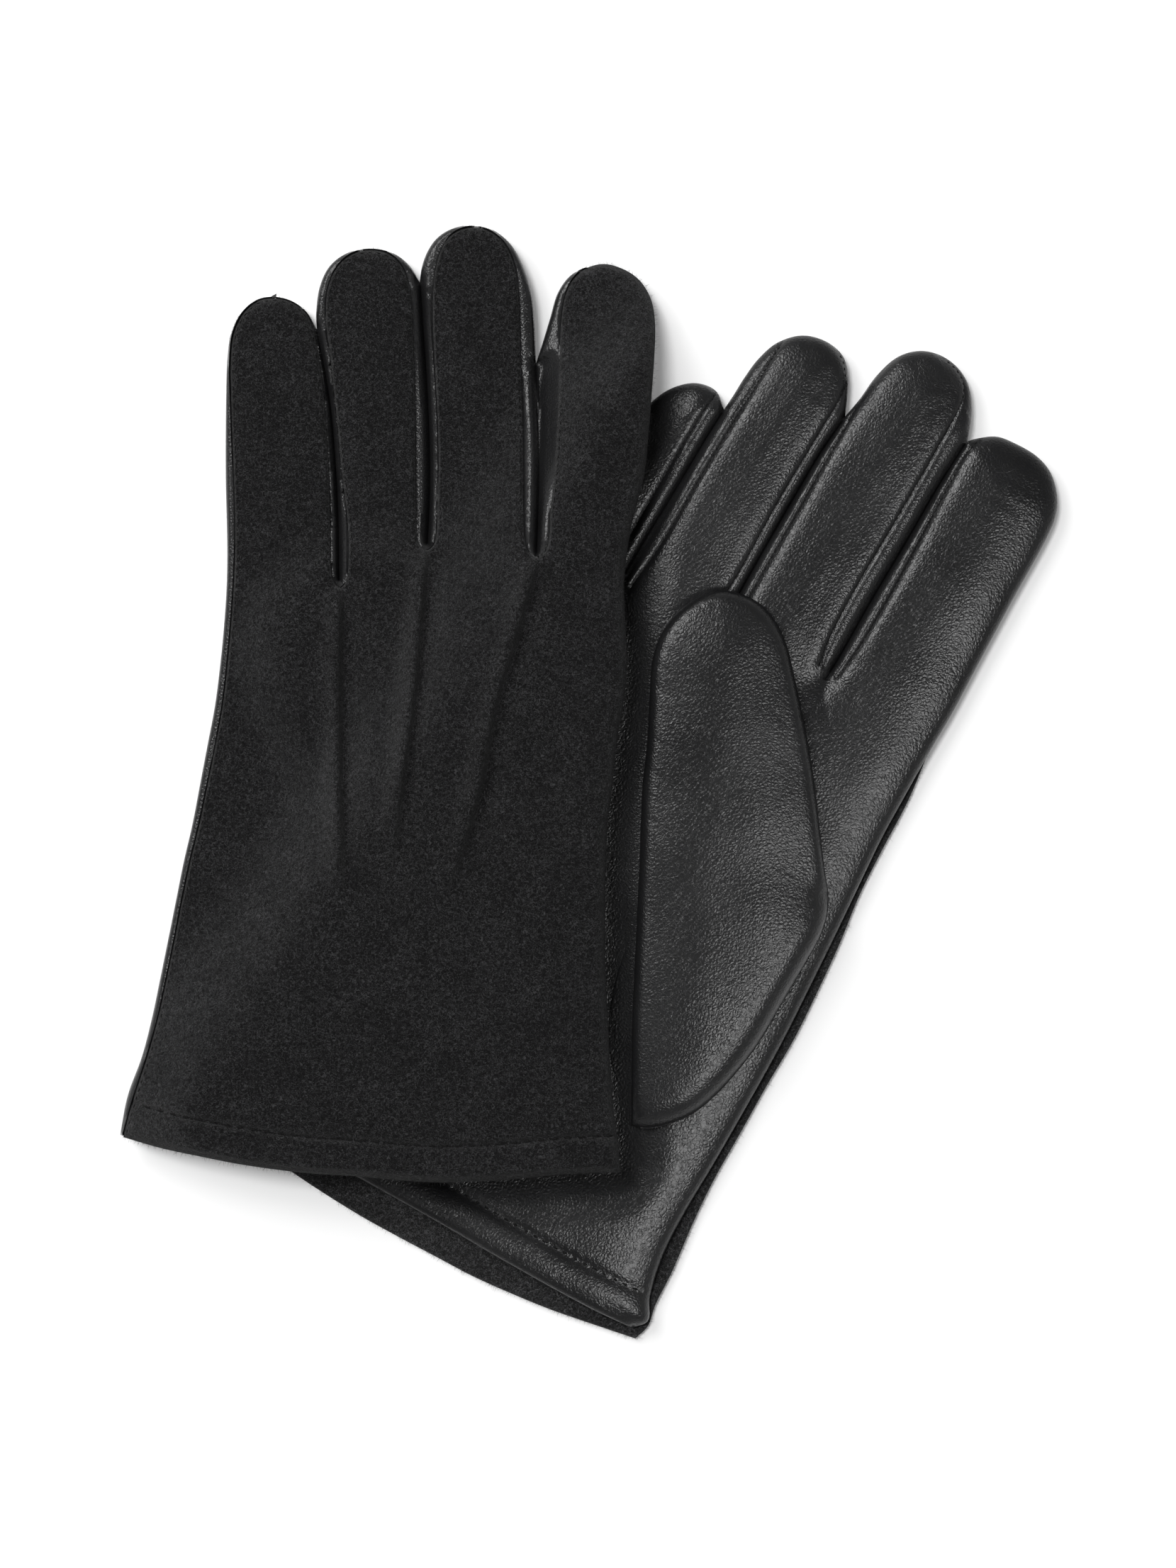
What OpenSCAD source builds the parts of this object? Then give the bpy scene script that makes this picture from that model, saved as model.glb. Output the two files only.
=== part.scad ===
// A pair of lined dress gloves: felt backs, leather palms, fourchettes and thumbs.
// The right glove lies on its back, palm up. The left one lies over it, back up.
// Both gloves share one plan: y runs along the fingers, x = 0 is the middle finger's
// axis and y = 0 the height where the fingers part. A glove is built back down.

/* [Lie of the pair] */
// Turn of the right glove, clockwise from the left one, degrees
right_turn = 29; // [22:1:34]
// Place of the right glove's plan origin in the pair
right_at = [48.5, 36]; // [-80:0.5:80]
// Place of the left glove's plan origin in the pair
left_at = [-28, 58.5]; // [-80:0.5:80]

/* [Materials] */
// Thickness of the wool felt back
wool_t = 2; // [1.4:0.1:3]
// Thickness of the leather
leather_t = 1.2; // [0.8:0.1:1.6]
// Thickness of the knitted lining
lining_t = 0.6; // [0.4:0.1:1]
// Width in plan of the strips that close a glove's sides
strip_w = 2.2; // [1.4:0.1:3]

/* [Room inside] */
// Free height for the hand
hand_space = 4.8; // [4.4:0.1:8]
// Free height inside the right thumb
thumb_space = 4.8; // [4.4:0.1:8]
// Free height inside the left thumb, which lies pressed between the gloves
pressed_space = 1.6; // [1:0.1:4]
// Gap between soft pieces that move apart
soft_gap = 0.3; // [0.3:0.1:1]
// Gap between the edge of a lining and the strips around it
lining_gap = 0.4; // [0.2:0.1:0.8]

/* [Left fingers: little, ring, middle, index] */
// Widths where the fingers part
left_root_w = [27, 23, 25, 24]; // [18:0.5:36]
// Widths near the tips
left_tip_w = [21.5, 24.5, 27, 27]; // [16:0.5:34]
// Heights of the tips above the parting
left_tip_y = [67, 79.3, 85.3, 75.5]; // [45:0.1:100]
// Heights of the three crotches
left_crotch_y = [-8, 2, -1]; // [-12:0.5:5]
// Gaps between the tips
left_tip_gap = [0.8, 2.3, 5.2]; // [0.6:0.1:8]

/* [Right fingers: little, ring, middle, index] */
// Widths where the fingers part
right_root_w = [20, 23, 27.5, 34.5]; // [18:0.5:36]
// Widths near the tips
right_tip_w = [20, 24, 27, 32]; // [16:0.5:34]
// Heights of the tips above the parting
right_tip_y = [50, 74.4, 85.3, 75.6]; // [45:0.1:100]
// Heights of the three crotches
right_crotch_y = [-7.5, 1, -2]; // [-12:0.5:5]
// Gaps between the tips
right_tip_gap = [0.8, 2.6, 2.2]; // [0.6:0.1:8]

/* [Hand and cuff] */
// Left cuff: reach of the outer and inner corner, then their depths
left_cuff = [93, 36.5, 148, 156]; // [30:0.5:190]
// Reach of the left glove's outer and inner side halfway down
left_waist = [69, 27.5]; // [25:0.5:75]
// Depth of the left palm's hem
left_palm_hem = 152; // [140:0.5:155]
// Right cuff: reach of the outer and inner corner, then their depths
right_cuff = [69, 55.3, 176, 174.6]; // [50:0.1:190]
// Reach of the right glove's outer and inner side halfway down
right_waist = [62, 54]; // [48:0.5:70]
// Depth of the right palm's hem
right_palm_hem = 172.5; // [165:0.5:175]
// How far the back's hem bows below its corners
hem_bow = 6.5; // [2:0.5:9]
// Depth of the edge turned in at the hems
hem_fold = 9.5; // [6:0.5:14]

/* [Thumb] */
// Turn of the folded thumb from its glove's fingers, degrees
thumb_lean = 29; // [24:1:33]
// Place of the right thumb's inner root corner in its glove
right_thumb_at = [27.3, -126.5]; // [-135:0.5:32]
// Place of the left thumb's inner root corner in its glove
left_thumb_at = [9, -140.5]; // [-142:0.5:12]
// Length of the thumb from its inner root corner
thumb_l = 137; // [125:0.5:142]
// Radius of the thumb's tip
thumb_tip_r = 18.2; // [15:0.1:20]
// Outer root corner of the thumb, from the inner one
thumb_root = [50.7, 60]; // [44:0.1:64]
// How far the thumb's base seam bows out from its fold
base_bow = 11.6; // [8:0.1:14]
// How far the hole's seam bows out on the palm side
hole_bow = 6.3; // [4:0.1:8]

/* [Raised points on the left back] */
// Height of a point above the felt
point_h = 0.9; // [0.5:0.1:1.5]
// Width of a point at its foot
point_w = 1.9; // [1.2:0.1:3]
// Heights of the points' lower ends
point_end_y = [-85.5, -78.5, -85]; // [-95:0.5:-70]
// How far each point's lower end lies from its crotch, sideways
point_drift = [1, -8.3, -22.6]; // [-26:0.1:6]

/* [Hidden] */

felt_colour = [0.07, 0.07, 0.08];
leather_colour = [0.14, 0.13, 0.14];
strip_colour = [0.2, 0.19, 0.2];
lining_colour = [0.3, 0.3, 0.31];

left = 0;
right = 1;
root_w = [left_root_w, right_root_w];
tip_w = [left_tip_w, right_tip_w];
tip_y = [left_tip_y, right_tip_y];
crotch_y = [left_crotch_y, right_crotch_y];
tip_gap = [left_tip_gap, right_tip_gap];
root_gap = [1, 1.6, 1.6];         // between the fingers where they part
cuff = [left_cuff, right_cuff];
waist = [left_waist, right_waist];
palm_hem = [left_palm_hem, right_palm_hem];
thumb_at = [left_thumb_at, right_thumb_at];
thumb_room = [pressed_space, thumb_space];

rim_step = 0.4;                   // how far a strip's rim stays below the panels
axis_foot = 20;                   // how far a finger's axis runs on below the parting
curve_steps = 10;                 // straight stretches in one curve
far = 400;                        // beyond the whole pair

glove_t = wool_t + 2 * lining_t + hand_space + leather_t;
palm_z = glove_t - leather_t;     // inner face of the palm panel
lining_palm_z = palm_z - lining_t;
thumb_z = glove_t + soft_gap;     // lower face of a folded thumb
function thumb_t(hand) = 2 * leather_t + 2 * lining_t + thumb_room[hand];
left_palm_z = thumb_z + thumb_t(left) + soft_gap;
left_top_z = left_palm_z + glove_t;

// ---- Outlines ----

function sum(v, n) = n <= 0 ? 0 : v[n - 1] + sum(v, n - 1);

// Quadratic curve from p to q, drawn towards the point c.
function curve(p, c, q) =
    [for (i = [0:curve_steps]) let (t = i / curve_steps)
        (1 - t) * (1 - t) * p + 2 * t * (1 - t) * c + t * t * q];

// Curve from p to q that bows out to its left by the given height.
function bowed(p, q, height) =
    let (along = (q - p) / norm(q - p), out = [-along[1], along[0]])
    curve(p, (p + q) / 2 + 2 * height * out, q);

// Outer edge and centres of a row of fingers, counted from the middle finger's axis.
function row_start(w, gap) = -(w[0] + gap[0] + w[1] + gap[1] + w[2] / 2);
function finger_x(w, gap, i) = row_start(w, gap) + sum(w, i) + sum(gap, i) + w[i] / 2;
function root_x(hand, i) = finger_x(root_w[hand], root_gap, i);
function tip_x(hand, i) = finger_x(tip_w[hand], tip_gap[hand], i);

// One finger from the crotch on its outer side, round the tip and down to the other.
function finger_points(hand, i, inset) =
    let (root_r = root_w[hand][i] / 2 - inset,
         tip_r = tip_w[hand][i] / 2 - inset,
         tip = [tip_x(hand, i), tip_y[hand][i] - inset - tip_r])
    concat([[root_x(hand, i) - root_r, crotch_y[hand][max(i - 1, 0)] - inset]],
           [for (a = [180:-15:0]) tip + tip_r * [cos(a), sin(a)]],
           [[root_x(hand, i) + root_r, crotch_y[hand][min(i, 2)] - inset]]);

// Middle of the gap between finger i and the next one, where they part.
function gap_x(hand, i) = root_x(hand, i) + root_w[hand][i] / 2 + root_gap[i] / 2;

function outer_corner(hand) = [-cuff[hand][0], -cuff[hand][2]];
function inner_corner(hand) = [cuff[hand][1], -cuff[hand][3]];
function hem_points(hand, up) =
    let (from = outer_corner(hand) + [0, up], to = inner_corner(hand) + [0, up])
    curve(from, (from + to) / 2 - [0, 2 * hem_bow], to);

// A whole glove's plan, moved in from its outline by the given inset.
module plan(hand, inset) {
    outer_top = finger_points(hand, 0, inset)[0];
    inner_top = [root_x(hand, 3) + root_w[hand][3] / 2 - inset, crotch_y[hand][2] - inset];
    outer_mid = [inset - waist[hand][0], outer_corner(hand)[1] / 2];
    inner_mid = [waist[hand][1] - inset, inner_corner(hand)[1] / 2];
    outer_low = outer_corner(hand) + [inset, 0];
    inner_low = inner_corner(hand) - [inset, 0];
    intersection() {
        polygon(concat(
            [for (i = [0:3]) each finger_points(hand, i, inset)],
            curve(inner_top, inner_mid, inner_low),
            [[inner_low[0], -far], [outer_low[0], -far]],
            curve(outer_low, outer_mid, outer_top)));
        above_back_hem(hand, 0);
    }
}

module above(y) {
    translate([-far, y]) square([2 * far, 2 * far]);
}

module above_back_hem(hand, up) {
    polygon(concat(hem_points(hand, up),
                   [[far, up - cuff[hand][3]], [far, far], [-far, far],
                    [-far, up - cuff[hand][2]]]));
}

module palm_plan(hand, inset, hem_up = 0) {
    intersection() {
        plan(hand, inset);
        above(hem_up - palm_hem[hand]);
    }
}

// The strip around a glove's plan, between its outline and the panels.
module rim(hand) {
    difference() {
        plan(hand, 0);
        plan(hand, strip_w);
    }
}

// Where the axis of finger i lies at height y.
function axis_point(hand, i, y) =
    [root_x(hand, i) + (tip_x(hand, i) - root_x(hand, i)) * y / tip_y[hand][i], y];

// The ground between the axes of finger i and the next one.
module between_axes(hand, i) {
    polygon([axis_point(hand, i, -axis_foot), axis_point(hand, i, far),
             axis_point(hand, i + 1, far), axis_point(hand, i + 1, -axis_foot)]);
}

// The ground beyond the axis of finger i, towards the given side, and below its foot.
module beyond_axis(hand, i, side) {
    polygon([[side * far, -far], [side * far, far], axis_point(hand, i, far),
             axis_point(hand, i, -axis_foot), [root_x(hand, i), -far]]);
}

// ---- Thumb outlines, from the thumb's inner root corner, y along the thumb ----

fold_along = thumb_root / norm(thumb_root);
fold_out = [-fold_along[1], fold_along[0]];
thumb_drift = 5;                  // how far the thumb's inner side leans over
thumb_tip = [thumb_drift + thumb_tip_r, thumb_l - thumb_tip_r];
inner_drift = [3.5, 70];          // the thumb's inner side passes near this point
outer_drift = [48.5, 88];         // and its outer side near this one
past_fold = 20;                   // how far the thumb's outline runs on past its fold

function thumb_points(inset) =
    let (tip_r = thumb_tip_r - inset)
    concat([[inset, 0] - past_fold * fold_out],
           curve([inset, 0], inner_drift + [inset, 0], thumb_tip - [tip_r, 0]),
           [for (a = [165:-15:15]) thumb_tip + tip_r * [cos(a), sin(a)]],
           curve(thumb_tip + [tip_r, 0], outer_drift - [inset, 0], thumb_root - [inset, 0]),
           [thumb_root - [inset, 0] - past_fold * fold_out]);

// The ground beyond the fold, where the free part of the thumb lies.
module beyond_fold(gap) {
    rotate(atan2(thumb_root[1], thumb_root[0])) translate([-far, gap]) square(2 * far);
}

module thumb_plan(inset, gap) {
    intersection() {
        polygon(thumb_points(inset));
        beyond_fold(gap);
    }
}

module thumb_inner_half() {
    translate([-far, -far]) square([far + thumb_tip[0], 2 * far]);
}

module thumb_outer_half() {
    translate([thumb_tip[0], -far]) square([far, 2 * far]);
}

hole_top = [1, 50];               // upper end of the hole's seam on the palm side
hole_top_bow = 5;                 // how far the hole's hidden upper seam bows up
// The way from the hand into the thumb, inside the hole.
mouth = [[3, 12], [2, 44], [24, 54], [37, 52]];

// The hole in the palm that the thumb is sewn into.
module hole_plan() {
    polygon(concat(bowed(thumb_root, [0, 0], base_bow),
                   bowed([0, 0], hole_top, hole_bow),
                   bowed(hole_top, thumb_root, hole_top_bow)));
}

module mouth_plan() {
    polygon(mouth);
}

module at_thumb(hand) {
    translate(thumb_at[hand]) rotate(thumb_lean) children();
}

// ---- Placing ----

module layer(z, height) {
    translate([0, 0, z]) linear_extrude(height) children();
}

// Turns a glove built back down into its place in the pair.
module place(hand) {
    if (hand == right)
        translate([right_at[0], right_at[1], 0]) rotate(-right_turn) children();
    else
        translate([left_at[0], left_at[1], left_top_z]) mirror([0, 0, 1]) children();
}

// ---- Pieces of one glove ----

// Felt back, with its index side turned up as a wall and its hem turned in.
module back_panel(hand) {
    color(felt_colour) place(hand) union() {
        layer(0, wool_t) plan(hand, strip_w);
        layer(0, glove_t - rim_step) intersection() {
            rim(hand);
            beyond_axis(hand, 3, 1);
        }
        layer(wool_t, lining_t) difference() {
            plan(hand, strip_w);
            above_back_hem(hand, hem_fold);
        }
    }
}

// Leather palm, with its little-finger side turned down as a wall and its hem turned in.
module palm_panel(hand) {
    color(leather_colour) place(hand) union() {
        layer(palm_z, leather_t) difference() {
            palm_plan(hand, strip_w);
            at_thumb(hand) hole_plan();
        }
        layer(rim_step, glove_t - rim_step) intersection() {
            rim(hand);
            beyond_axis(hand, 0, -1);
            above(-palm_hem[hand]);
        }
        layer(lining_palm_z, lining_t) difference() {
            palm_plan(hand, strip_w);
            above(hem_fold - palm_hem[hand]);
        }
    }
}

// Forked strip that lines the facing sides of finger i and the next one.
module fourchette(hand, i) {
    color(strip_colour) place(hand)
        layer(rim_step, glove_t - 2 * rim_step) intersection() {
            rim(hand);
            between_axes(hand, i);
        }
}

module lining_back(hand) {
    color(lining_colour) place(hand)
        layer(wool_t, lining_t) intersection() {
            plan(hand, strip_w + lining_gap);
            above_back_hem(hand, hem_fold + lining_gap);
        }
}

module lining_palm(hand) {
    color(lining_colour) place(hand)
        layer(lining_palm_z, lining_t) difference() {
            palm_plan(hand, strip_w + lining_gap, hem_fold + lining_gap);
            at_thumb(hand) mouth_plan();
        }
}

// Root of the thumb: fills the hole around the way into the thumb.
module thumb_gusset(hand) {
    color(strip_colour) place(hand)
        layer(palm_z, leather_t) at_thumb(hand) difference() {
            hole_plan();
            mouth_plan();
        }
}

// Face of the thumb that lies against the palm, with its seam side as a wall.
module thumb_back(hand) {
    color(strip_colour) place(hand) union() {
        layer(thumb_z, leather_t) at_thumb(hand) difference() {
            thumb_plan(strip_w, soft_gap);
            mouth_plan();
        }
        layer(thumb_z, thumb_t(hand) - rim_step) at_thumb(hand) difference() {
            thumb_plan(0, soft_gap);
            thumb_plan(strip_w, -past_fold);
            thumb_inner_half();
        }
    }
}

// Outer face of the thumb, folded over along its inner side and its tip.
module thumb_front(hand) {
    color(leather_colour) place(hand) union() {
        layer(thumb_z + thumb_t(hand) - leather_t, leather_t)
            at_thumb(hand) thumb_plan(strip_w, soft_gap);
        layer(thumb_z + rim_step, thumb_t(hand) - rim_step) at_thumb(hand) difference() {
            thumb_plan(0, soft_gap);
            thumb_plan(strip_w, -past_fold);
            thumb_outer_half();
        }
    }
}

module thumb_lining_back(hand) {
    color(lining_colour) place(hand)
        layer(thumb_z + leather_t, lining_t) at_thumb(hand) difference() {
            thumb_plan(strip_w + lining_gap, soft_gap + lining_gap);
            mouth_plan();
        }
}

module thumb_lining_front(hand) {
    color(lining_colour) place(hand)
        layer(thumb_z + leather_t + lining_t + thumb_room[hand], lining_t)
            at_thumb(hand) thumb_plan(strip_w + lining_gap, soft_gap + lining_gap);
}

// Three raised tucks that run down the left back from the crotches.
module points() {
    for (i = [0:2]) {
        top = [gap_x(left, i), left_crotch_y[i] - strip_w - 1];
        end = [gap_x(left, i) + point_drift[i], point_end_y[i]];
        line = curve(top, (top + end) / 2 + [-point_drift[i] / 8, 0], end);
        for (step = [0, 1]) {
            side = [point_w / 2 * (1 - step * 0.45), 0];
            layer(-point_h * (1 + step) / 2, point_h * (1 + step) / 2)
                polygon(concat([for (p = line) p - side],
                               [for (k = [curve_steps:-1:0]) line[k] + side]));
        }
    }
}

back_panel(right);  // right_back_panel
palm_panel(right);  // right_palm_panel
fourchette(right, 0);  // right_fourchette_little_ring
fourchette(right, 1);  // right_fourchette_ring_middle
fourchette(right, 2);  // right_fourchette_middle_index
lining_back(right);  // right_lining_back
lining_palm(right);  // right_lining_palm
thumb_gusset(right);  // right_thumb_gusset
thumb_front(right);  // right_thumb_front
thumb_back(right);  // right_thumb_back
thumb_lining_front(right);  // right_thumb_lining_front
thumb_lining_back(right);  // right_thumb_lining_back
union() {  // left_back_panel
    back_panel(left);
    color(felt_colour) place(left) points();
}
palm_panel(left);  // left_palm_panel
fourchette(left, 0);  // left_fourchette_little_ring
fourchette(left, 1);  // left_fourchette_ring_middle
fourchette(left, 2);  // left_fourchette_middle_index
lining_back(left);  // left_lining_back
lining_palm(left);  // left_lining_palm
thumb_gusset(left);  // left_thumb_gusset
thumb_front(left);  // left_thumb_front
thumb_back(left);  // left_thumb_back
thumb_lining_front(left);  // left_thumb_lining_front
thumb_lining_back(left);  // left_thumb_lining_back
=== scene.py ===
import bpy
import math
import numpy as np
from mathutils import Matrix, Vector, kdtree
from mathutils.geometry import delaunay_2d_cdt


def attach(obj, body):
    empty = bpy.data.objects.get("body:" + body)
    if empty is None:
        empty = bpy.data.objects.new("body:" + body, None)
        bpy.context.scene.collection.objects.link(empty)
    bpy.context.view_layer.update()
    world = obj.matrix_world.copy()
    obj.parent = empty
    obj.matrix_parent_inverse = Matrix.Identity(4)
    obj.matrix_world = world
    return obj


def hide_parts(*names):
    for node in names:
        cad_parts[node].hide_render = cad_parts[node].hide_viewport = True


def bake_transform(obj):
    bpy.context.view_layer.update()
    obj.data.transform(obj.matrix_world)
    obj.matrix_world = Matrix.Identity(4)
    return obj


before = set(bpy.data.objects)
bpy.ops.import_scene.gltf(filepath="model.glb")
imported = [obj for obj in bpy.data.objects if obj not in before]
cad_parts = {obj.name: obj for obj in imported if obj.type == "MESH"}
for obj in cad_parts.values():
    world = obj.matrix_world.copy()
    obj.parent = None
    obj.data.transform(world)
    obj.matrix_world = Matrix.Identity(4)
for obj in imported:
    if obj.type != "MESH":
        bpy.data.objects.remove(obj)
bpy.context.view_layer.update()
mm = 0.001
rng = np.random.default_rng(29)
print("gloves: frame loaded,", len(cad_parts), "nodes")

# Outlines are in millimetres in the frame's own axes. Each is a ring of smooth runs with a corner
# between one run and the next; a run starts where the one before it ends, and the last run is the hem.
leftGlove = {
    "outline": [
        [(-118.3, -80), (-114.7, -70), (-112.2, -60), (-110.2, -50), (-108.2, -40), (-106.2, -30),
         (-104.2, -20), (-101.9, -10), (-100, 0), (-98.1, 10), (-96.2, 20), (-94.9, 30), (-93.9, 40),
         (-93.2, 50), (-93, 60), (-93.4, 80), (-93.3, 98), (-92.9, 110), (-91.9, 116.5), (-89.4, 121.5),
         (-85.6, 124.6), (-81.2, 125.5), (-76.4, 124.5), (-72.4, 121.6), (-69.9, 117.2)],
        [(-70.1, 121), (-69.2, 128), (-66.6, 133.4), (-62, 136.8), (-55.9, 137.9), (-49.8, 136.6),
         (-45.8, 133.4), (-43.4, 129.4)],
        [(-42.9, 133), (-41.6, 136.8), (-39.1, 140.5), (-35.2, 143), (-30.2, 143.9), (-24.6, 142.8),
         (-19.8, 139), (-16.3, 132.5), (-14.4, 126), (-13.7, 119), (-13.4, 108.4)],
        [(-11.6, 114), (-9.8, 120), (-7.8, 126.6),
         (-4.8, 130.8), (-0.8, 133), (3.6, 133.5), (8.6, 132.1), (12.6, 129.2), (15.4, 124.4), (16.4, 118),
         (16.2, 110), (15.5, 100), (13.7, 80), (10.1, 65), (8.4, 50), (9.1, 30), (8.1, 20), (6.5, 10),
         (5.5, 0), (4.3, -10), (3.6, -30), (3.8, -50), (4.8, -70), (5.5, -80), (6.4, -88), (7, -97.6)],
        [(-4, -98.2), (-20, -99.4), (-40, -100), (-60, -98.6), (-80, -96.8), (-100, -93.4), (-120.3, -90.2)],
    ],
    "felt": [
        [(-116.9, -82), (-113.1, -70), (-110.4, -60), (-108.3, -50), (-106.3, -40), (-104.4, -30),
         (-102.3, -20), (-99.9, -10), (-97.8, 0), (-95.8, 10), (-94, 20), (-92.8, 30), (-91.9, 40),
         (-91.2, 50), (-90.8, 60), (-90.8, 70), (-91.3, 84), (-91.8, 98), (-92, 109), (-91.2, 116),
         (-88.7, 121.2), (-84.9, 124.4), (-80.9, 125.1), (-76.6, 124.2), (-73, 121.8), (-70.9, 118.2),
         (-69.2, 110), (-67.7, 98), (-66.8, 85), (-66.3, 70), (-66.1, 60), (-65.8, 54.6), (-65.1, 51.7),
         (-63.9, 50.3)],
        [(-63.3, 50.3)],
        [(-62.1, 51.6), (-61.5, 54.6), (-61.4, 61), (-61.9, 69), (-63.3, 80), (-64.7, 95), (-66.3, 110),
         (-67.4, 120), (-67, 127), (-64.7, 132.7), (-60.9, 136.3), (-56, 137.5), (-51.2, 136.4),
         (-47.8, 133), (-45.7, 127),
         (-45.1, 119), (-44.6, 105), (-44.3, 90), (-44.2, 75), (-44.1, 67), (-43.8, 63.4), (-43, 61.1),
         (-41.9, 60.1)],
        [(-41.1, 60.1)],
        [(-39.8, 61.1), (-39, 63.6), (-38.7, 71), (-38.4, 82), (-38.7, 95), (-39.5, 110), (-39.9, 121),
         (-39.5, 130),
         (-37.9, 137), (-34.9, 141.4), (-30.4, 143.3), (-25.6, 142.4), (-21.5, 139), (-18.9, 133.5),
         (-17.8, 126), (-17.5, 119), (-17.1, 105), (-16.7, 92), (-16.5, 80), (-16.4, 68), (-16.1, 62.3),
         (-15.2, 59.2), (-13.5, 57.7)],
        [(-12.6, 57.7)],
        [(-10.8, 59.2), (-9.9, 62.4), (-9.5, 70), (-8.5, 80), (-7.7, 95), (-7.2, 110), (-6.8, 120),
         (-5.2, 127.4), (-1.8, 132), (3.4, 134), (8.8, 132.8), (13.2, 129.8), (16.2, 124.6), (17.2, 118),
         (17, 110),
         (16.3, 100), (15.5, 90), (14.5, 80), (12.7, 72), (10.9, 65), (9.7, 57), (9.2, 50), (9.6, 40),
         (10, 30), (9, 20), (7.3, 10), (6.3, 0), (5.1, -10), (4.6, -20), (4.4, -40), (4.6, -50),
         (5.1, -60), (5.6, -70), (6.2, -80), (7.2, -88), (8.3, -99.2)],
        [(0, -99.3), (-10, -100), (-20, -101), (-30, -101.6), (-40, -101.7), (-50, -101), (-60, -100.1),
         (-70, -99.5), (-80, -98.4), (-90, -96.9), (-100, -95), (-110, -93.1), (-119.4, -90.8)],
    ],
    "gaps": [
        [(-69.7, 116), (-67.7, 106), (-66.1, 95), (-64.9, 80), (-64.2, 65), (-63.9, 52.4)],
        [(-43.1, 128.2), (-42.5, 118), (-41.6, 105), (-40.9, 90), (-40.8, 75), (-41.3, 62)],
        [(-13.3, 107.2), (-13, 98), (-12.6, 84), (-12.7, 70), (-13.1, 59.2)],
    ],
    "points": [
        [(-63.8, 49.5), (-64, 20), (-63.6, -6), (-62.7, -27)],
        [(-41.7, 59.5), (-43.2, 40), (-45, 20), (-47.4, 2), (-50, -20)],
        [(-13.4, 56.5), (-19.6, 34.6), (-24, 20), (-27.9, -0.7), (-33.4, -20), (-36.2, -26.7)],
    ],
    "middle": 19.0, "up": 4.3, "down": 3.9,
    "tipAt": [(-81.2, 125.5), (-55.9, 137.9), (-30.2, 143.9), (3.6, 133.5)],
    "hemFold": 9.5,
}

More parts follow.
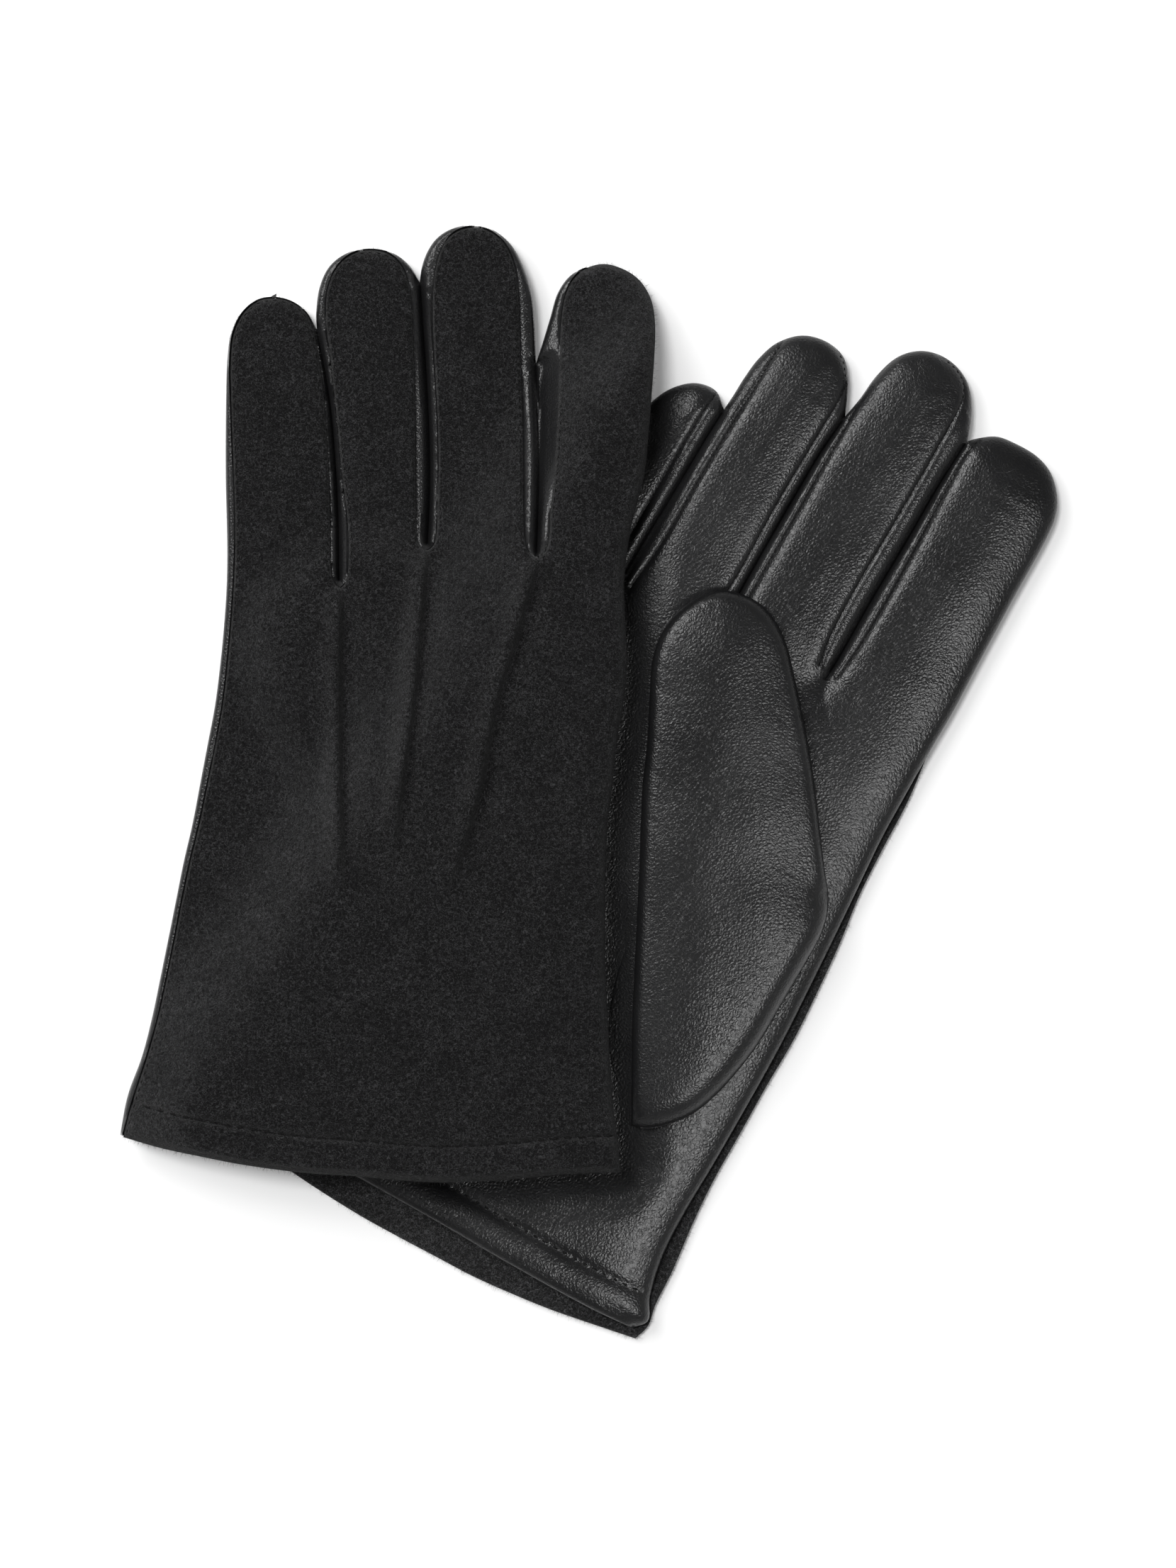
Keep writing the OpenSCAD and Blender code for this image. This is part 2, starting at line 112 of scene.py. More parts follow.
rightGlove = {
    "outline": [
        [(-80, -58), (-60, -27), (-40, 5), (-22, 33), (-6.5, 59), (3.5, 78), (10.8, 91.5), (16, 98.2),
         (21.8, 102.2), (28, 103.4), (33, 101.4), (35.1, 96.6)],
        [(37.6, 100.4), (40.2, 104.6), (43.9, 109.6), (48.8, 113.8), (55.6, 115.7), (62, 113.8),
         (65.9, 110.1), (67.2, 104.4), (66.9, 99.4), (66.3, 94.8)],
        [(70.1, 99.3), (74.5, 105.4), (79.8, 110.1), (85.3, 111.7), (90.6, 110.7), (95.3, 107.4),
         (98.2, 102.6), (99, 96), (97.9, 88.4)],
        [(100.8, 89.2), (105.5, 89.6),
         (110.3, 87.8), (115.8, 84.5), (119.4, 80.2), (121.1, 73.6), (120.5, 68.6), (118.2, 63.2),
         (110, 48.3), (101.3, 32.1), (94.2, 18.7), (87.6, 7.4), (81.6, -3.4), (75.8, -14), (70, -26),
         (64, -38.6), (56.4, -54.1), (49.8, -67.2), (40, -84.8), (32.4, -98), (24.8, -110.8),
         (19.3, -121.7), (16, -132.2), (15.4, -138.6), (11.6, -140.2)],
        [(0, -134.6), (-20, -123.6), (-40, -112), (-60, -101), (-94.6, -82)],
    ],
    "gaps": [
        [(34.5, 95.4), (31.2, 90.2), (21, 73.1), (14.4, 62.2), (8.6, 52.2)],
        [(65.7, 93.6), (59.9, 85.2), (52.9, 73.4), (42.6, 55.4), (38, 47.2)],
        [(97, 87.2), (90.5, 77), (82.3, 62.8), (72.7, 46.6), (65.3, 33.5), (61.3, 27)],
    ],
    "seams": [
        [(30.2, 103.4), (33, 100.9), (30.9, 97.6), (24.1, 86.9), (17.4, 75.4), (11.1, 64.4), (6.4, 55.6)],
        [(11, 50.6), (17.9, 60.4), (30.4, 81.4), (42.1, 100.7), (47.4, 109.6), (50.6, 114.4)],
        [(62.8, 113.2), (65.7, 109), (66.5, 103.2), (60, 91.3), (49.3, 73.4), (39.4, 55.4), (35.2, 48.4)],
        [(41, 47), (45.7, 55.4), (56.5, 74.2), (63.4, 86.8), (70.6, 99.4), (76.2, 107), (79.4, 109.8)],
        [(89.7, 110.8), (94.2, 107.5), (96.6, 103.5), (96.4, 99), (90.6, 87.7), (79.8, 68.9), (68.1, 49.1),
         (61.9, 37), (59.6, 30.6)],
        [(63.9, 27.2), (69, 34), (78.9, 50.6), (86.4, 64.4), (93.2, 77.4), (97, 84.6), (101, 89)],
    ],
    "felt": [
        [(-78, -60), (-58, -28), (-38, 4), (-20, 32), (-5, 58), (5, 76), (12.4, 90), (18.6, 97.4),
         (27.4, 100.8), (32, 96.8), (28.4, 90.4), (19.6, 75), (8, 54.4)],
        [(8.4, 54)],
        [(22.4, 72), (37, 96.4), (45.4, 109.2), (55.4, 113.4), (63.6, 108.6), (63.6, 97), (51.6, 74.6),
         (37.2, 49.4)],
        [(38, 49)],
        [(54.4, 72.6), (68.4, 94.4), (77.6, 106.6), (85.8, 109.4), (94.4, 103.8), (95.8, 91.6),
         (82, 66), (61, 29)],
        [(62, 28.6)],
        [(84, 62), (98.6, 86), (105.6, 87), (114, 82.4), (118.8, 74), (116.4, 64), (108, 48.6),
         (99.6, 32.6), (93.2, 20), (89.4, 12), (86.8, 5.4), (82.6, -4.5), (76, -17), (70, -29),
         (65.1, -41), (59.6, -53), (53.1, -66.1), (45.9, -78.4), (40, -89), (32.6, -102.1),
         (27.3, -113), (21.7, -126), (17.3, -134.8), (15.5, -140), (12.2, -143.2)],
        [(0, -139.1), (-10, -135.6), (-20, -131.5), (-30, -127), (-40, -121.7), (-50, -116.4),
         (-60, -110.8), (-77.8, -99.3), (-94.8, -86.4)],
    ],
    "middle": 4.3, "up": 4.9, "down": 3.1,
    "tipAt": [(30.2, 103.4), (55.6, 115.7), (85.3, 111.7), (103, 89.4)],
    "hemFold": 9.5,
}

rightThumb = {
    "side": [(11.4, -60), (12.3, -40), (13.2, -20), (14, 0), (15.1, 10), (15.7, 20), (16.2, 29.4),
             (16.9, 33.4), (18.5, 38), (21.5, 42.5), (26, 46.6), (30.4, 48.9), (34.7, 49.7), (40.2, 48.5),
             (44.9, 45.7), (48.4, 41.3), (50.9, 36), (52.4, 30.3), (54.6, 20), (56.5, 10.4), (58.2, 0),
             (59.8, -14), (60.9, -23), (61.8, -27.9)],
    "base": [(61.6, -33), (59.8, -38.9), (55.6, -46.5), (49.8, -56.4), (43.4, -67.2), (37.8, -74.5),
             (32.4, -80.3), (26.6, -84.9), (20, -87.6), (15, -88.5), (11.1, -87.9)],
    "hinge": [(11.05, -87.87), (61.75, -27.87)], "hingeHeight": 9.5,
    "leather": {"floor": 9.5, "height": 8.1, "edge": 2.5, "inset": 0.0},
    "lining": {"floor": 10.9, "height": 5.2, "edge": 1.6, "inset": 2.0},
    "sideRound": 8.5, "baseRound": 13,
}

# The left thumb is the right one's outline, turned about the lower end of its hinge. It lies under the palm
# with its full side down, at a height counted from "flip".
leftThumb = {
    "turn": 29, "hinge": [(-19.0, -82.0), (-3.745, -4.943)], "hingeHeight": 14.7,
    "leather": {"floor": 9.55, "height": 5.1, "edge": 2.0, "inset": 0.0},
    "lining": {"floor": 10.8, "height": 2.6, "edge": 1.0, "inset": 2.0},
    "sideRound": 6.5, "baseRound": 9, "flip": 24.2,
}


# lines, rings and flat patches
def along(line, step):
    line = np.asarray(line, float)
    walked = np.r_[0, np.cumsum(np.linalg.norm(np.diff(line, axis=0), axis=1))]
    count = max(2, int(round(walked[-1] / step)) + 1)
    spots = np.linspace(0, walked[-1], count)
    return np.column_stack([np.interp(spots, walked, line[:, k]) for k in range(line.shape[1])])


def curveThrough(points, step=1.0):
    points = np.asarray(points, float)
    if len(points) == 2:
        return along(points, step)
    points = np.vstack([2 * points[0] - points[1], points, 2 * points[-1] - points[-2]])
    dense = []
    for a, b, c, d in zip(points, points[1:], points[2:], points[3:]):
        knots = np.cumsum([0] + [math.sqrt(np.linalg.norm(q - p)) for p, q in ((a, b), (b, c), (c, d))])
        t = np.linspace(knots[1], knots[2], 12, endpoint=False)[:, None]

        def mix(p, q, i, j):
            return ((knots[j] - t) * p + (t - knots[i]) * q) / (knots[j] - knots[i])

        ab, bc, cd = mix(a, b, 0, 1), mix(b, c, 1, 2), mix(c, d, 2, 3)
        dense.append(mix(mix(ab, bc, 0, 2), mix(bc, cd, 1, 3), 1, 2))
    return along(np.vstack(dense + [points[-2:-1]]), step)


def ringOf(runs, step=1.0):
    loop, starts, last = [], [0], runs[-1][-1]
    for run in runs:
        part = curveThrough([last] + list(run), step)
        loop.append(part[:-1])
        starts.append(starts[-1] + len(part) - 1)
        last = run[-1]
    return np.vstack(loop), starts


def nearest(spots, line, closed=False):
    tree = kdtree.KDTree(len(line))
    for i, (x, y) in enumerate(line):
        tree.insert((x, y, 0), i)
    tree.balance()
    index = np.array([tree.find((x, y, 0))[1] for x, y in spots])
    best = np.full(len(spots), 1e9)
    for shift in (-1, 0):
        i = (index + shift) % len(line) if closed else np.clip(index + shift, 0, len(line) - 2)
        a, b = line[i], line[(i + 1) % len(line)]
        t = np.clip(((spots - a) * (b - a)).sum(1) / np.maximum(((b - a) ** 2).sum(1), 1e-12), 0, 1)
        best = np.minimum(best, np.linalg.norm(spots - a - t[:, None] * (b - a), axis=1))
    return best, index


def isInside(spots, loop):
    hit = np.zeros(len(spots), bool)
    x, y = spots[:, 0], spots[:, 1]
    for (ax, ay), (bx, by) in zip(loop, np.roll(loop, -1, axis=0)):
        if ay != by:
            hit ^= ((ay > y) != (by > y)) & (x < (bx - ax) * (y - ay) / (by - ay) + ax)
    return hit


def patchOf(loop, step=1.2, depths=(0.12, 0.4, 0.9, 1.6, 2.5, 3.6), extra=()):
    forward = np.roll(loop, -1, axis=0) - np.roll(loop, 1, axis=0)
    inward = np.column_stack([-forward[:, 1], forward[:, 0]])
    inward /= np.linalg.norm(inward, axis=1)[:, None]
    area = 0.5 * np.sum(loop[:, 0] * np.roll(loop[:, 1], -1) - np.roll(loop[:, 0], -1) * loop[:, 1])
    inward *= 1 if area > 0 else -1
    spots = []
    for depth in depths:
        ring = loop + inward * depth
        gone, _ = nearest(ring, loop, True)
        spots.append(ring[(gone > 0.93 * depth) & isInside(ring, loop)])
    low, high = loop.min(0), loop.max(0)
    rows = np.arange(low[1], high[1], step * 0.866)
    grid = np.array([(x, y) for i, y in enumerate(rows)
                     for x in np.arange(low[0] + (i % 2) * step / 2, high[0], step)])
    grid = grid[isInside(grid, loop)]
    gone, _ = nearest(grid, loop, True)
    spots.append(grid[gone > depths[-1] + 0.5 * step])
    spots = np.vstack(spots)
    for line, gap in extra:
        gone, _ = nearest(spots, line)
        spots = spots[gone > gap]
    for line, gap in extra:
        spots = np.vstack([spots, line])
    everything = np.vstack([loop, spots])
    flat = [Vector(p) for p in everything]
    corners, _, faces, *_ = delaunay_2d_cdt(flat, [], [list(range(len(loop)))], 1, 1e-5)
    return np.array([tuple(v) for v in corners]), np.array([f for f in faces if len(f) == 3])


def smooth(x, low=0.0, high=1.0):
    t = np.clip((x - low) / (high - low), 0, 1)
    return t * t * (3 - 2 * t)


def crowned(distance, reach):
    return np.sqrt(1 - (1 - np.clip(distance / reach, 0, 1)) ** 2)


def unevenness(spots, size, seed, count=14):
    own = np.random.default_rng(seed)
    total = np.zeros(len(spots))
    for _ in range(count):
        turn, phase = own.uniform(0, 2 * math.pi, 2)
        wave = 2 * math.pi / (size * own.uniform(0.7, 1.6))
        total += np.sin(wave * (spots[:, 0] * math.cos(turn) + spots[:, 1] * math.sin(turn)) + phase)
    return total / math.sqrt(count)


def creased(spots, creases):
    total = np.zeros(len(spots))
    for ax, ay, bx, by, depth, width in creases:
        run = np.array([bx - ax, by - ay], float)
        length = np.linalg.norm(run)
        run /= length
        t = (spots - (ax, ay)) @ run / length
        bow = np.sin(np.clip(t, 0, 1) * math.pi) * length * 0.06
        s = (spots - (ax, ay)) @ np.array([-run[1], run[0]]) - bow
        total += depth * np.exp(-(s / width) ** 2) * smooth(t, -0.1, 0.25) * smooth(-t, -1.1, -0.75)
    return total


# every mesh is worked out in millimetres and becomes metres here
def newPiece(name, corners, faces, material, bodyName, nodes=()):
    mesh = bpy.data.meshes.new(name)
    used = np.unique(np.concatenate([np.asarray(f).ravel() for f in faces]))
    place = np.full(len(corners), -1)
    place[used] = np.arange(len(used))
    mesh.from_pydata((np.asarray(corners)[used] * mm).tolist(), [],
                     [place[list(f)].tolist() for f in faces])
    mesh.validate()
    mesh.polygons.foreach_set("use_smooth", [True] * len(mesh.polygons))
    piece = bpy.data.objects.new(name, mesh)
    bpy.context.scene.collection.objects.link(piece)
    mesh.materials.append(material)
    if bodyName:
        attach(piece, bodyName)
    if nodes:
        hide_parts(*nodes)
    return piece


def thickened(piece, thickness, offset=-1.0):
    layer = piece.modifiers.new("thickness", "SOLIDIFY")
    layer.thickness = thickness * mm
    layer.offset = offset
    layer.use_even_offset = False
    view = bpy.context.evaluated_depsgraph_get()
    done = bpy.data.meshes.new_from_object(piece.evaluated_get(view))
    piece.modifiers.clear()
    piece.data = done
    done.polygons.foreach_set("use_smooth", [True] * len(done.polygons))
    done.set_sharp_from_angle(angle=math.radians(55))
    return piece


def borderOf(faces):
    seen = {}
    for a, b, c in faces:
        for edge in ((a, b), (b, c), (c, a)):
            seen[edge] = True
    return [(a, b) for a, b in seen if (b, a) not in seen]


def closedShell(flat, faces, top, bottom):
    # a top and a bottom layer over the same flat patch, with a wall all round
    count = len(flat)
    corners = np.vstack([np.column_stack([flat, top]), np.column_stack([flat, bottom])])
    walls = [(b, a, a + count, b + count) for a, b in borderOf(faces)]
    layers = [tuple(f) for f in faces] + [(f[0] + count, f[2] + count, f[1] + count) for f in faces]
    return corners, layers + walls


print("gloves: tools ready")


def newGroup(name, inputs, outputs):
    group = bpy.data.node_groups.new(name, "ShaderNodeTree")
    for label, kind, value in inputs:
        socket = group.interface.new_socket(label, in_out="INPUT", socket_type=kind)
        if value is not None:
            socket.default_value = value
    for label, kind in outputs:
        group.interface.new_socket(label, in_out="OUTPUT", socket_type=kind)
    return group, group.nodes.new("NodeGroupInput"), group.nodes.new("NodeGroupOutput")


def addNode(tree, kind, links=(), **values):
    node = tree.nodes.new(kind)
    for key, value in values.items():
        if key.startswith("in_"):
            node.inputs[key[3:].replace("_", " ")].default_value = value
        else:
            setattr(node, key, value)
    for socket, source in dict(links).items():
        tree.links.new(source, node.inputs[socket])
    return node


def calc(tree, operation, *terms, clamp=False):
    node = tree.nodes.new("ShaderNodeMath")
    node.operation, node.use_clamp = operation, clamp
    for slot, term in zip(node.inputs, terms):
        if isinstance(term, (int, float)):
            slot.default_value = term
        else:
            tree.links.new(term, slot)
    return node.outputs[0]


def makeLeatherGrain():
    tree, given, out = newGroup(
        "leatherGrain",
        [("Vector", "NodeSocketVector", None), ("Pebble Size", "NodeSocketFloat", 1300.0),
         ("Wrinkle Size", "NodeSocketFloat", 240.0), ("Wrinkle Amount", "NodeSocketFloat", 0.5)],
        [("Height", "NodeSocketFloat"), ("Wear", "NodeSocketFloat")])
    spot, amount = given.outputs["Vector"], given.outputs["Wrinkle Amount"]
    bend = addNode(tree, "ShaderNodeTexNoise", {"Vector": spot}, in_Scale=520.0, in_Detail=2.0)
    pushed = addNode(tree, "ShaderNodeVectorMath", {0: bend.outputs["Color"]}, operation="SCALE")
    pushed.inputs["Scale"].default_value = 0.0011  # how far a pebble's border wanders, in metres
    place = addNode(tree, "ShaderNodeVectorMath", {0: spot, 1: pushed.outputs[0]}, operation="ADD").outputs[0]
    pebble = addNode(tree, "ShaderNodeTexVoronoi", {"Vector": place, "Scale": given.outputs["Pebble Size"]},
                     feature="DISTANCE_TO_EDGE")
    cells = calc(tree, "MULTIPLY", pebble.outputs["Distance"], 2.5, clamp=True)
    pores = addNode(tree, "ShaderNodeTexNoise", {"Vector": spot}, in_Scale=2600.0, in_Detail=3.0)
    folds = addNode(tree, "ShaderNodeTexNoise", {"Vector": place, "Scale": given.outputs["Wrinkle Size"]},
                    in_Detail=4.0, in_Distortion=0.9)
    ridge = calc(tree, "ABSOLUTE", calc(tree, "SUBTRACT", folds.outputs[0], 0.5))
    valley = calc(tree, "SUBTRACT", 1.0, calc(tree, "MULTIPLY", ridge, 9.0, clamp=True))
    lines = calc(tree, "MULTIPLY", valley, amount)
    coarse = addNode(tree, "ShaderNodeTexVoronoi", {"Vector": place}, feature="DISTANCE_TO_EDGE",
                     in_Scale=460.0)
    plates = calc(tree, "MULTIPLY", calc(tree, "MULTIPLY", coarse.outputs["Distance"], 3.0, clamp=True),
                  amount)
    height = calc(tree, "ADD", calc(tree, "ADD", calc(tree, "MULTIPLY", cells, 0.62), plates),
                  calc(tree, "MULTIPLY", pores.outputs[0], 0.32))
    tree.links.new(calc(tree, "SUBTRACT", height, lines), out.inputs["Height"])
    worn = addNode(tree, "ShaderNodeTexNoise", {"Vector": spot}, in_Scale=46.0, in_Detail=4.0)
    tree.links.new(worn.outputs[0], out.inputs["Wear"])
    return tree


def makeFeltPile():
    tree, given, out = newGroup(
        "feltPile",
        [("Vector", "NodeSocketVector", None), ("Fibre Size", "NodeSocketFloat", 1500.0),
         ("Patch Size", "NodeSocketFloat", 90.0)],
        [("Height", "NodeSocketFloat"), ("Fleck", "NodeSocketFloat"), ("Patch", "NodeSocketFloat")])
    spot = given.outputs["Vector"]
    fibre = addNode(tree, "ShaderNodeTexNoise", {"Vector": spot, "Scale": given.outputs["Fibre Size"]},
                    in_Detail=5.0, in_Roughness=0.72, in_Distortion=1.4)
    clump = addNode(tree, "ShaderNodeTexNoise", {"Vector": spot}, in_Scale=420.0, in_Detail=3.0,
                    in_Distortion=0.6)
    patch = addNode(tree, "ShaderNodeTexNoise", {"Vector": spot, "Scale": given.outputs["Patch Size"]},
                    in_Detail=3.0)
    tree.links.new(calc(tree, "ADD", calc(tree, "MULTIPLY", fibre.outputs[0], 0.6),
                        calc(tree, "MULTIPLY", clump.outputs[0], 0.7)), out.inputs["Height"])
    fleck = addNode(tree, "ShaderNodeMapRange", {"Value": fibre.outputs[0]}, in_From_Min=0.44,
                    in_From_Max=0.72)
    tree.links.new(fleck.outputs[0], out.inputs["Fleck"])
    tree.links.new(patch.outputs[0], out.inputs["Patch"])
    return tree


leatherGrain, feltPile = makeLeatherGrain(), makeFeltPile()
leatherLook = {"dark": (0.0045, 0.0045, 0.0048), "light": (0.009, 0.009, 0.0094), "matt": 0.33, "shiny": 0.27,
               "pebble": 1080.0, "wrinkle": 0.14, "bump": 0.62, "bumpDepth": 0.00013}
stripLook = {"dark": (0.005, 0.005, 0.0053), "light": (0.010, 0.010, 0.0104), "matt": 0.34, "shiny": 0.27,
             "pebble": 1200.0, "wrinkle": 0.1, "bump": 0.6, "bumpDepth": 0.00013}
feltLook = {"dark": (0.001, 0.001, 0.0011), "light": (0.036, 0.036, 0.0374), "sheen": 0.07}
# the right glove's wool is the same cloth as the left one's, written lighter (0.065 against 0.036) and with
# more sheen: painted light that lifts its shaded edge
underPaintedLighterLook = {"dark": (0.003, 0.003, 0.0031), "light": (0.065, 0.065, 0.0675), "sheen": 0.12}
fibreLook = {"dark": (0.010, 0.010, 0.0105), "light": (0.040, 0.040, 0.042), "sheen": 0.1}
knitLook = {"dark": (0.012, 0.012, 0.013), "light": (0.045, 0.045, 0.048)}
threadLook = {"dark": (0.002, 0.002, 0.002), "light": (0.009, 0.009, 0.009)}


def newMaterial(name, **values):
    material = bpy.data.materials.new(name)
    material.use_nodes = True
    tree = material.node_tree
    shader = tree.nodes["Principled BSDF"]
    for key, value in values.items():
        shader.inputs[key.replace("_", " ")].default_value = value
    place = tree.nodes.new("ShaderNodeTexCoord").outputs["Object"]
    return material, tree, shader, place


def rampOf(tree, source, stops):
    ramp = tree.nodes.new("ShaderNodeValToRGB")
    for element, (spot, colour) in zip(ramp.color_ramp.elements, stops):
        element.position, element.color = spot, (*colour, 1)
    tree.links.new(source, ramp.inputs[0])
    return ramp.outputs[0]


def leatherMaterial(name, look):
    material, tree, shader, place = newMaterial(name, Specular_IOR_Level=0.42, IOR=1.5)
    grain = addNode(tree, "ShaderNodeGroup", node_tree=leatherGrain)
    tree.links.new(place, grain.inputs["Vector"])
    grain.inputs["Pebble Size"].default_value = look["pebble"]
    grain.inputs["Wrinkle Amount"].default_value = look["wrinkle"]
    colour = rampOf(tree, grain.outputs["Wear"], [(0.3, look["dark"]), (0.75, look["light"])])
    tree.links.new(colour, shader.inputs["Base Color"])
    rough = addNode(tree, "ShaderNodeMapRange", {"Value": grain.outputs["Wear"]}, in_From_Min=0.3,
                    in_From_Max=0.7, in_To_Min=look["shiny"], in_To_Max=look["matt"])
    tree.links.new(rough.outputs[0], shader.inputs["Roughness"])
    raised = addNode(tree, "ShaderNodeBump", {"Height": grain.outputs["Height"]}, in_Strength=look["bump"],
                     in_Distance=look["bumpDepth"])
    tree.links.new(raised.outputs[0], shader.inputs["Normal"])
    return material


def feltMaterial(name, look):
    material, tree, shader, place = newMaterial(
        name, Specular_IOR_Level=0.1, Sheen_Weight=look["sheen"], Sheen_Roughness=0.55, Roughness=0.95)
    pile = addNode(tree, "ShaderNodeGroup", node_tree=feltPile)
    tree.links.new(place, pile.inputs["Vector"])
    blotch = calc(tree, "ADD", pile.outputs["Fleck"],
                  calc(tree, "MULTIPLY", calc(tree, "SUBTRACT", pile.outputs["Patch"], 0.5), 0.3), clamp=True)
    colour = rampOf(tree, blotch, [(0.15, look["dark"]), (0.8, look["light"])])
    tree.links.new(colour, shader.inputs["Base Color"])
    raised = addNode(tree, "ShaderNodeBump", {"Height": pile.outputs["Height"]}, in_Strength=1.0,
                     in_Distance=0.0007)
    tree.links.new(raised.outputs[0], shader.inputs["Normal"])
    return material


def knitMaterial(name, look):
    material, tree, shader, place = newMaterial(name, Specular_IOR_Level=0.2, Roughness=0.9, Sheen_Weight=0.2)
    ribs = addNode(tree, "ShaderNodeTexWave", {"Vector": place}, in_Scale=260.0, in_Distortion=1.2,
                   in_Detail=1.0, in_Detail_Scale=3.0)
    rows = addNode(tree, "ShaderNodeTexWave", {"Vector": place}, in_Scale=380.0, bands_direction="Y")
    knit = calc(tree, "MULTIPLY", ribs.outputs["Fac"], rows.outputs["Fac"])
    colour = rampOf(tree, knit, [(0.0, look["dark"]), (1.0, look["light"])])
    tree.links.new(colour, shader.inputs["Base Color"])
    raised = addNode(tree, "ShaderNodeBump", {"Height": knit}, in_Strength=0.6, in_Distance=0.0003)
    tree.links.new(raised.outputs[0], shader.inputs["Normal"])
    return material


def threadMaterial(name, look):
    material, tree, shader, place = newMaterial(name, Specular_IOR_Level=0.1)
    twist = addNode(tree, "ShaderNodeTexWave", {"Vector": place}, in_Scale=900.0, bands_direction="DIAGONAL")
    colour = rampOf(tree, twist.outputs["Fac"], [(0.0, look["dark"]), (1.0, look["light"])])
    tree.links.new(colour, shader.inputs["Base Color"])
    rough = calc(tree, "ADD", calc(tree, "MULTIPLY", twist.outputs["Fac"], 0.2), 0.6)
    tree.links.new(rough, shader.inputs["Roughness"])
    return material


leather = leatherMaterial("blackLeather", leatherLook)
stripLeather = leatherMaterial("stripLeather", stripLook)
felt = feltMaterial("blackWoolFelt", feltLook)
# underFelt is the lighter copy of the wool, painted light for the right glove's shaded back
underFelt = feltMaterial("blackWoolUnderPaintedLighter", underPaintedLighterLook)
fibres = feltMaterial("woolFibres", fibreLook)
knit = knitMaterial("knitLining", knitLook)
thread = threadMaterial("blackThread", threadLook)
print("gloves: materials ready")


rightEdge, _ = ringOf(rightGlove["felt"])
thumbRing = np.vstack([curveThrough(rightThumb["side"]), curveThrough(rightThumb["base"])])
thumbTurn = math.radians(leftThumb["turn"])
turned = (thumbRing - rightThumb["hinge"][0]) @ np.array([[math.cos(thumbTurn), math.sin(thumbTurn)],
                                                         [-math.sin(thumbTurn), math.cos(thumbTurn)]])
leftThumbRing = turned + leftThumb["hinge"][0]
restsOn = {"sinkByHand": 9.0, "handFrom": 3, "handTo": 34,
           "sinkByThumb": 5.0, "thumbFrom": 6, "thumbTo": 40, "thumbClear": 20}


def settled(spots):
    # how far the left glove sinks towards the table where the right glove doesn't hold it up
    away, _ = nearest(spots, rightEdge, True)
    away[isInside(spots, rightEdge)] = 0
    offThumb, _ = nearest(spots, leftThumbRing, True)
    offThumb[isInside(spots, leftThumbRing)] = 0
    byHand = restsOn["sinkByHand"] * smooth(away, restsOn["handFrom"], restsOn["handTo"])
    byThumb = restsOn["sinkByThumb"] * smooth(away, restsOn["thumbFrom"], restsOn["thumbTo"])
    return byHand + byThumb * smooth(offThumb, restsOn["handFrom"], restsOn["thumbClear"])


def rowsBeside(lines, loop, shifts, gap=0.4):
    rows = []
    for line in lines:
        across = np.gradient(line, axis=0)
        across = np.column_stack([-across[:, 1], across[:, 0]]) / np.linalg.norm(across, axis=1)[:, None]
        for shift in shifts:
            row = line + across * shift
            gone, _ = nearest(row, loop, True)
            row = row[isInside(row, loop) & (gone > 0.25)]
            if len(row) > 2:
                rows.append((row, gap))
    return rows


def rimGap(spots, side, gaps):
    # how deep a spot lies inside a finger, counted from the outline or from the line where two fingers touch
    depth, _ = nearest(spots, side)
    between = np.min([nearest(spots, line)[0] for line in gaps], axis=0) + 0.3
    return np.minimum(depth, between)


def bodyOf(glove, extra=()):
    loop, starts = ringOf(glove["outline"])
    side = loop[:starts[-2] + 1]
    hem = np.vstack([loop[starts[-2]:], loop[:1]])
    gaps = [curveThrough(line, 0.8) for line in glove["gaps"]]
    rows = rowsBeside(gaps, loop, (0, -0.2, 0.2, -0.6, 0.6, -1.2, 1.2, -2, 2))
    flat, faces = patchOf(loop, extra=rows + list(extra))
    atSide, index = nearest(flat, side)
    zone = np.searchsorted([nearest(np.array([tip], float), side)[1][0] for tip in glove["tipAt"]], index)
    between = np.array([nearest(flat, line)[0] for line in gaps]) + 0.3
    zone = np.where(between.min(0) < atSide, between.argmin(0) + 1, zone)
    hemGap, _ = nearest(flat, hem)
    return {"loop": loop, "side": side, "hem": hem, "gaps": gaps, "flat": flat, "faces": faces, "zone": zone,
            "atSide": atSide, "depth": np.minimum(atSide, between.min(0)), "hemGap": hemGap}


def twoSided(body, top, bottom):
    # the top and bottom corners of a body; they meet where the side line runs
    count = len(body["flat"])
    onSide = body["atSide"] < 0.02
    corners = np.vstack([np.column_stack([body["flat"], top]), np.column_stack([body["flat"], bottom])])
    under = np.where(onSide, np.arange(count), np.arange(count) + count)
    return corners, under


def hairsOn(name, roots, ways, lengths, radius, bodyName):
    # each hair is a bent three-sided spike of seven corners that stays above the table
    count = len(roots)
    ways = ways / np.linalg.norm(ways, axis=1)[:, None]
    side = np.cross(ways, rng.normal(size=(count, 3)))
    side /= np.linalg.norm(side, axis=1)[:, None]
    other = np.cross(ways, side)
    bend = rng.normal(size=(count, 3)) * 0.28
    corners = np.zeros((count, 7, 3))
    for ring, (t, r) in enumerate(((0.0, 1.0), (0.55, 0.8))):
        middle = roots + (ways * t + bend * t * t) * lengths[:, None]
        for k in range(3):
            turn = k * 2 * math.pi / 3
            corners[:, ring * 3 + k] = middle + radius * r * (math.cos(turn) * side + math.sin(turn) * other)
    corners[:, 6] = roots + (ways + bend) * lengths[:, None]
    corners[:, :, 2] = np.maximum(corners[:, :, 2], 0.05)
    faces = []
    for i in range(count):
        s = i * 7
        faces += [(s + 2, s + 1, s)]
        for k in range(3):
            n = (k + 1) % 3
            faces += [(s + k, s + n, s + 3 + n, s + 3 + k), (s + 3 + k, s + 3 + n, s + 6)]
    return newPiece(name, corners.reshape(-1, 3), faces, fibres, bodyName)


